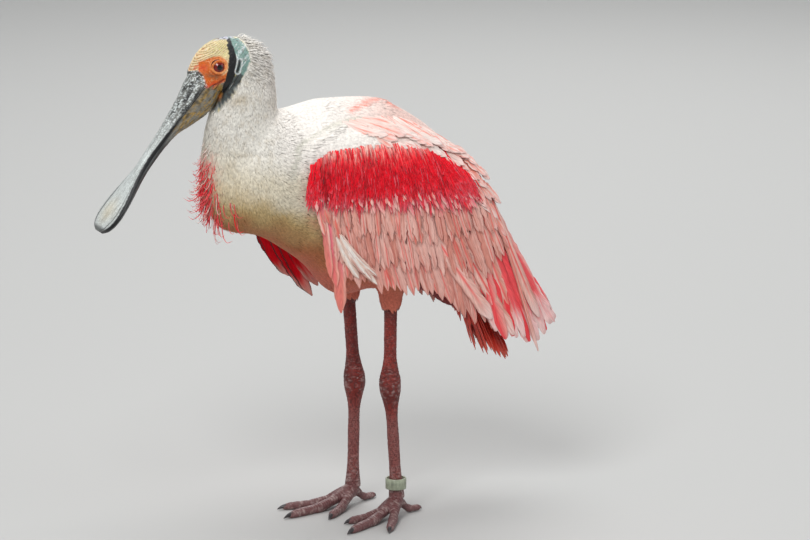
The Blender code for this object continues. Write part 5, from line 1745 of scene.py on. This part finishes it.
def bill_tint(local, upper):
    """Colours of the bill from its own distances: along, sideways and up."""
    at, sideways, height = local.T
    distance, half = np.array(BILL, float).T[:2]
    across = np.abs(sideways) / smooth(distance, half, np.clip(at, -6, 167))[:, 0]
    grain = noise(local, 0.9, 73)
    coarse = noise(local * [0.5, 1, 1], 2.6, 74)
    streak = noise(local * [0.12, 1.6, 1], 1.0, 75)
    pale = mix(ink("horn_pale"), ink("horn_mid"), np.clip(0.1 + 0.7 * streak + 0.2 * grain, 0, 1))
    mottled = mix(ink("horn_mid"), ink("horn_dark"), ramp(coarse + 0.5 * grain, -0.15, 0.4))
    mottled = mix(mottled, ink("horn_pale"), ramp(grain + 0.5 * streak, 0.02, 0.4))
    tint = mix(mottled, pale, 0.85 * ramp(at + 12 * coarse, 30, 80))
    if upper:
        tint = mix(tint, ink("ivory"), 0.35
            * np.exp(-(((at - 146) / 12) ** 2 + (across / 0.5) ** 2)))
        line = np.exp(-(((across - 0.76) / 0.045) ** 2))
        tint = mix(tint, ink("black"), line * np.interp(at, (0, 40, 70), (0.35, 0.6, 0.85)))
        seam = np.exp(-(((across - 0.3) / 0.06) ** 2)) * ramp(at, 110, 60)
        tint = mix(tint, ink("black"), 0.6 * seam * ramp(streak, -0.6, 0.2))
        # Black at the upper mandible's rim: its dark edge, with painted shade where the side turns
        # down.
        rim = np.interp(at, (-6, 34, 60, 80, 110, 167), (0.985, 0.98, 0.93, 0.87, 0.87, 0.9))
        tint = mix(tint, ink("black"), ramp(across + 0.02 * grain, rim - 0.02, rim + 0.03))
        tint = mix(tint, ink("horn_dark"), 0.8 * ramp(at, 160, 165))
        slit = np.hypot((at - 17.6) / 7.5, (np.abs(sideways) - 8.8) / 1.3)
        return mix(tint, ink("black"), np.exp(-(slit**2)))
    fibre = noise(local * [0.16, 1.3, 1], 1.1, 76)
    ochre = mix(ink("ochre"), ink("horn_dark"), 0.85 * ramp(streak + 0.4 * grain, -0.4, 0.5))
    ochre = mix(ochre, ink("horn_mid"), 0.8 * ramp(fibre, -0.3, 0.4))
    tint = mix(tint, ochre, ramp(at, 80, 40))
    # Black on the lower mandible towards the tip: its dark edge, with painted shade on its side
    # under the upper mandible.
    tint = mix(tint, ink("black"), 0.92 * ramp(at, 46, 70))
    # Black along the mouth near the base: the dark gape line, with painted shade under the upper
    # mandible.
    return mix(tint, ink("black"), 0.85 * ramp(-height, 1.6, 0.6) * ramp(at, 80, 60))


def horn_finish():
    """Horn: fine specks over its own colours, with a matching bump, half gloss."""
    made, tree, shader = finish("bill_horn", 0.42, coat=0.12, specular=0.5)
    place = node_of(tree, "TexCoord")
    specks = node_of(
        tree, "TexNoise", {"Vector": place.outputs["Object"], "Scale": 900.0, "Detail": 4.0}
    )
    tree.links.new(tinted(tree, 1.15, 0.75, specks.outputs["Fac"]), shader.inputs["Base Color"])
    bump = node_of(
        tree, "Bump", {"Height": specks.outputs["Fac"], "Strength": 0.35, "Distance": 0.0005}
    )
    tree.links.new(bump.outputs["Normal"], shader.inputs["Normal"])
    return made


# Eyes, claws and band.


def eye(side):
    """The ball of the eye with its dark pupil and maroon iris, under a glossy front."""
    polar = np.linspace(0.02, math.pi - 0.02, 64)[:, None]
    angle = np.linspace(0, 2 * math.pi, 72, endpoint=False)[None]
    radius = EYE_RADIUS + 0.5 * np.exp(-((polar / 0.55) ** 2))
    local = np.stack(
        np.broadcast_arrays(
            radius * np.sin(polar) * np.cos(angle), side * radius * np.cos(polar),
            radius * np.sin(polar) * np.sin(angle),
        ),
        -1,
    )
    centre = np.array([EYE_CENTRE[0], side * EYE_CENTRE[1], EYE_CENTRE[2]])
    points, faces = shells((local + centre)[None])
    lean = np.broadcast_to(polar, local.shape[:2]) * EYE_RADIUS
    rays = noise(np.stack(np.broadcast_arrays(np.cos(angle) * 9, np.sin(angle) * 9, polar * 3),
            -1), 1.0, 81)
    tint = mix(ink("iris") * 0.45, ink("iris"),
        np.clip(0.5 + 0.5 * rays, 0, 1) * ramp(lean, 2.4, 4.0))
    tint = mix(tint, ink("black") * 0.4, ramp(lean, 2.9, 2.3))
    tint = mix(tint, ink("iris") * 0.2, ramp(lean, 4.9, 5.9))
    piece(
        "eyeball_" + SIDES[side], points, faces, EYE_LOOKS, ["eye_" + SIDES[side]],
        tint.reshape(-1, 3),
    )


def claws():
    """The claws: short curved cones at the ends of the toes."""
    shapes = []
    for side in SIDES:
        for heading, length, thick in TOES[side]:
            turn = math.radians(heading)
            way = np.array([-math.cos(turn), math.sin(turn), 0])
            start = leg_path(side)[2] * np.array([1, 1, 0]) + way * length * 0.885
            share = np.linspace(0, 1, 14)
            reach = length * 0.115 * share
            path = start + way * reach[:, None]
            path[:, 2] = 3.4 + 0.6 * np.sin(share * 2.2) - 2.7 * share**1.6
            radius = thick * 0.52 * (1 - share) ** 0.8 + 0.18
            rings = tube_rings(path, radius, 12)
            rings[..., 2] = np.maximum(rings[..., 2], 0.02)
            shapes.append(shells(rings[None]))
    points, faces = joined(shapes)
    grain = noise(points * [1, 1, 0.4], 1.2, 91)
    tint = mix(ink("claw"), ink("claw") * 2.2, ramp(grain, -0.2, 0.8))
    piece("claws", points, faces, CLAW_LOOKS, (), tint)


def band():
    """The loose ring above the left foot, with rounded rims, worn on the leg."""
    _, hock, ankle = leg_path(LEFT)
    middle = ankle + (hock - ankle) * 0.13
    turn = np.linspace(0, 2 * math.pi, 96, endpoint=False)[:, None]
    profile = np.array(
        [(8.5, -4.9), (8.7, -5.2), (9.6, -5.2), (9.95, -4.8), (10, 0), (9.95, 4.8),
         (9.6, 5.2), (8.7, 5.2), (8.5, 4.9), (8.5, 0)]
    )
    radius, level = profile[:, 0][None], profile[:, 1][None]
    rings = np.stack(
        np.broadcast_arrays(radius * np.cos(turn), radius * np.sin(turn), level + 0 * turn), -1
    )
    points, faces = torus(rings + middle)
    grain = noise(points, 2.2, 92)
    tint = mix(ink("band"), ink("band") * 0.55, ramp(grain, 0.0, 0.7))
    tint = mix(tint, ink("band") * 1.35, ramp(np.abs(points[:, 2] - middle[2]), 4.3, 5.1))
    piece("leg_ring", points, faces, BAND_LOOKS, ["leg_band"], tint)


def plumes(skin):
    """The hooked plumes of the breast: down along the skin, then forward and up at the tip."""
    draw = np.random.default_rng(33)

    def front(points):
        right, down = chart(points)
        patch = np.exp(-(((right - 208) / 10) ** 2)) * ramp(down, 132, 165) * ramp(down, 228, 208)
        low = 0.1 * inside(right, down, ((222, 180), (232, 186), (240, 222), (228, 222)), 3)
        return np.clip(np.maximum(patch, low), 0, 1) * (points[:, 0] < -120) * 0.8

    place, out = sow(skin, front, 2.6, 35)
    count = len(place)
    right, down = chart(place)
    share = np.linspace(0, 1, 9)
    free = ramp(right, 224, 206) * draw.uniform(0.35, 1, count)
    size = draw.uniform(10, 21, count) * (0.7 + 0.5 * ramp(down, 150, 190))

    def bend(values):
        return smooth(np.linspace(0, 1, 5), values, share)[:, 0][None]

    off = bend((-0.06, 0.1, 0.2, 0.26, 0.28)) * (0.5 + 0.5 * free)[:, None]
    ahead = bend((0, 0.04, 0.18, 0.44, 0.7)) * free[:, None]
    drop = bend((0.0, 0.34, 0.6, 0.68, 0.5)) + 0.35 * share * (1 - free)[:, None]
    turn = draw.normal(0, 0.12, count)[:, None] * share
    sweep = 0.55 * share**2 * (1 - free)[:, None]
    line = place[:, None] + size[:, None, None] * (
        out[:, None] * off[..., None] + np.stack([sweep - ahead, turn, -drop], -1)
    )
    wide = draw.uniform(0.9, 1.6, count)[:, None] * (1 - share**2 * 0.85)
    way = unit(np.gradient(line, axis=1))
    across = unit(np.cross(way, out[:, None] + [0.0, 0.0, 0.3]))
    pick = draw.uniform(0, 1, (count, 1))
    tint = mix(ink("coral")[None], ink("carmine")[None], ramp(pick[:, 0], 0.7, 0.95))
    tint = mix(tint, ink("blush"), ramp(pick[:, 0], 0.3, 0.1))
    tint = mix(tint, ink("neck"), 0.85 * ramp(down + 10 * pick[:, 0], 172, 146))
    tint = tint[:, None] * (0.9 + 0.25 * share[None, :, None])
    points, faces, shade = locks(line, wide, unit(np.cross(across, way)), across, tint)
    maps = {"OFBake": root_patches(unwrapped(place), 9)}
    piece("breast_plumes", points, faces, bpy.data.materials["body_feathers"], (),
        shade, maps)


# Studio.


# Camera: turned round to the front and raised in degrees, away in millimetres.
CAMERA_TURN, CAMERA_RISE, CAMERA_AWAY = -22, 12.5, 6500.0
PIXELS_PER_MM = 1 / 0.95
IMAGE_WIDTH, SENSOR_WIDTH = 810, 36
MIDDLE_HEIGHT = 250.0
AIM_SHIFT = (32, 14.7)

# Lamps: name, place and size in metres, power in watts, all aimed at one point.
LAMPS = (
    ("key", (-1.6, -2.2, 2.6), 1.5, 82), ("fill", (2.4, -1.4, 1.2), 2.4, 14),
    ("top", (0.3, 0.6, 2.8), 2.2, 40), ("rear", (1.2, 2.2, 1.6), 1.6, 20),
)
LAMP_AIM = (0, 0, 0.25)
SURROUND_COLOUR, SURROUND_STRENGTH = (0.86, 0.88, 0.9, 1), 0.4
FLOOR_HALF, FLOOR_LINES = 15, 31
FLOOR_COLOUR = (0.5, 0.5, 0.49, 1)


def studio():
    """Camera, soft lights, a pale floor and a pale surround."""
    lean, rise = math.radians(CAMERA_TURN), math.radians(CAMERA_RISE)
    back = np.array([math.sin(lean) * math.cos(rise), -math.cos(lean) * math.cos(rise),
            math.sin(rise)])
    right = np.array([math.cos(lean), math.sin(lean), 0])
    up = np.cross(back, right)
    aim = np.array([0, 0, MIDDLE_HEIGHT]) + right * AIM_SHIFT[0] / PIXELS_PER_MM
    aim = aim - up * AIM_SHIFT[1] / PIXELS_PER_MM
    eye_place = aim + back * CAMERA_AWAY
    data = bpy.data.cameras.new("camera")
    data.sensor_width = SENSOR_WIDTH
    data.lens = SENSOR_WIDTH * PIXELS_PER_MM * CAMERA_AWAY / IMAGE_WIDTH
    data.clip_end = 100
    camera = bpy.data.objects.new("camera", data)
    camera.location = Vector((eye_place + SHIFT) * MM)
    camera.rotation_euler = Vector(-back).to_track_quat("-Z", "Y").to_euler()
    bpy.context.scene.collection.objects.link(camera)
    bpy.context.scene.camera = camera
    for name, place, size, power in LAMPS:
        lamp = bpy.data.lights.new(name, "AREA")
        lamp.shape, lamp.size, lamp.energy = "DISK", size, power
        made = bpy.data.objects.new(name, lamp)
        made.location = place
        made.rotation_euler = (Vector(LAMP_AIM) - made.location).to_track_quat("-Z",
            "Y").to_euler()
        bpy.context.scene.collection.objects.link(made)
    world = bpy.data.worlds.new("studio")
    world.use_nodes = True
    world.node_tree.nodes["Background"].inputs["Color"].default_value = SURROUND_COLOUR
    world.node_tree.nodes["Background"].inputs["Strength"].default_value = SURROUND_STRENGTH
    bpy.context.scene.world = world
    line = np.linspace(-FLOOR_HALF, FLOOR_HALF, FLOOR_LINES) / MM
    grid = np.stack(np.meshgrid(line, line, indexing="ij"), -1)
    flat = np.concatenate([grid, np.zeros((FLOOR_LINES, FLOOR_LINES, 1))], -1)
    index = np.arange(FLOOR_LINES * FLOOR_LINES).reshape(FLOOR_LINES, FLOOR_LINES)
    faces = np.stack([index[:-1, :-1], index[1:, :-1], index[1:, 1:], index[:-1, 1:]],
        -1).reshape(-1, 4)
    mesh, _ = put_mesh("floor", flat.reshape(-1, 3) - SHIFT * [1, 1, 0], [faces])
    floor = bpy.data.objects.new("floor", mesh)
    bpy.context.scene.collection.objects.link(floor)
    looks, _, shader = finish("floor_paper", 0.9, specular=0.1)
    shader.inputs["Base Color"].default_value = FLOOR_COLOUR
    mesh.materials.append(looks)
    bpy.context.scene.view_settings.view_transform = "Standard"


studio()
SKIN = dressed_skin()
body_coat(SKIN)
for one in SIDES:
    wing(one)
tail()
rump()
BILL_LOOKS = horn_finish()
bill_half("bill_upper", True)
bill_half("bill_lower", False)
EYE_LOOKS = skin_finish("eye_gloss", 0.16, 300, 0.02, coat=0.3)
CLAW_LOOKS = skin_finish("claw_horn", 0.4, 500, 0.2, coat=0.2)
BAND_LOOKS = skin_finish("ring_metal", 0.42, 400, 0.15, coat=0.1)
for one in SIDES:
    eye(one)
claws()
band()
plumes(SKIN)
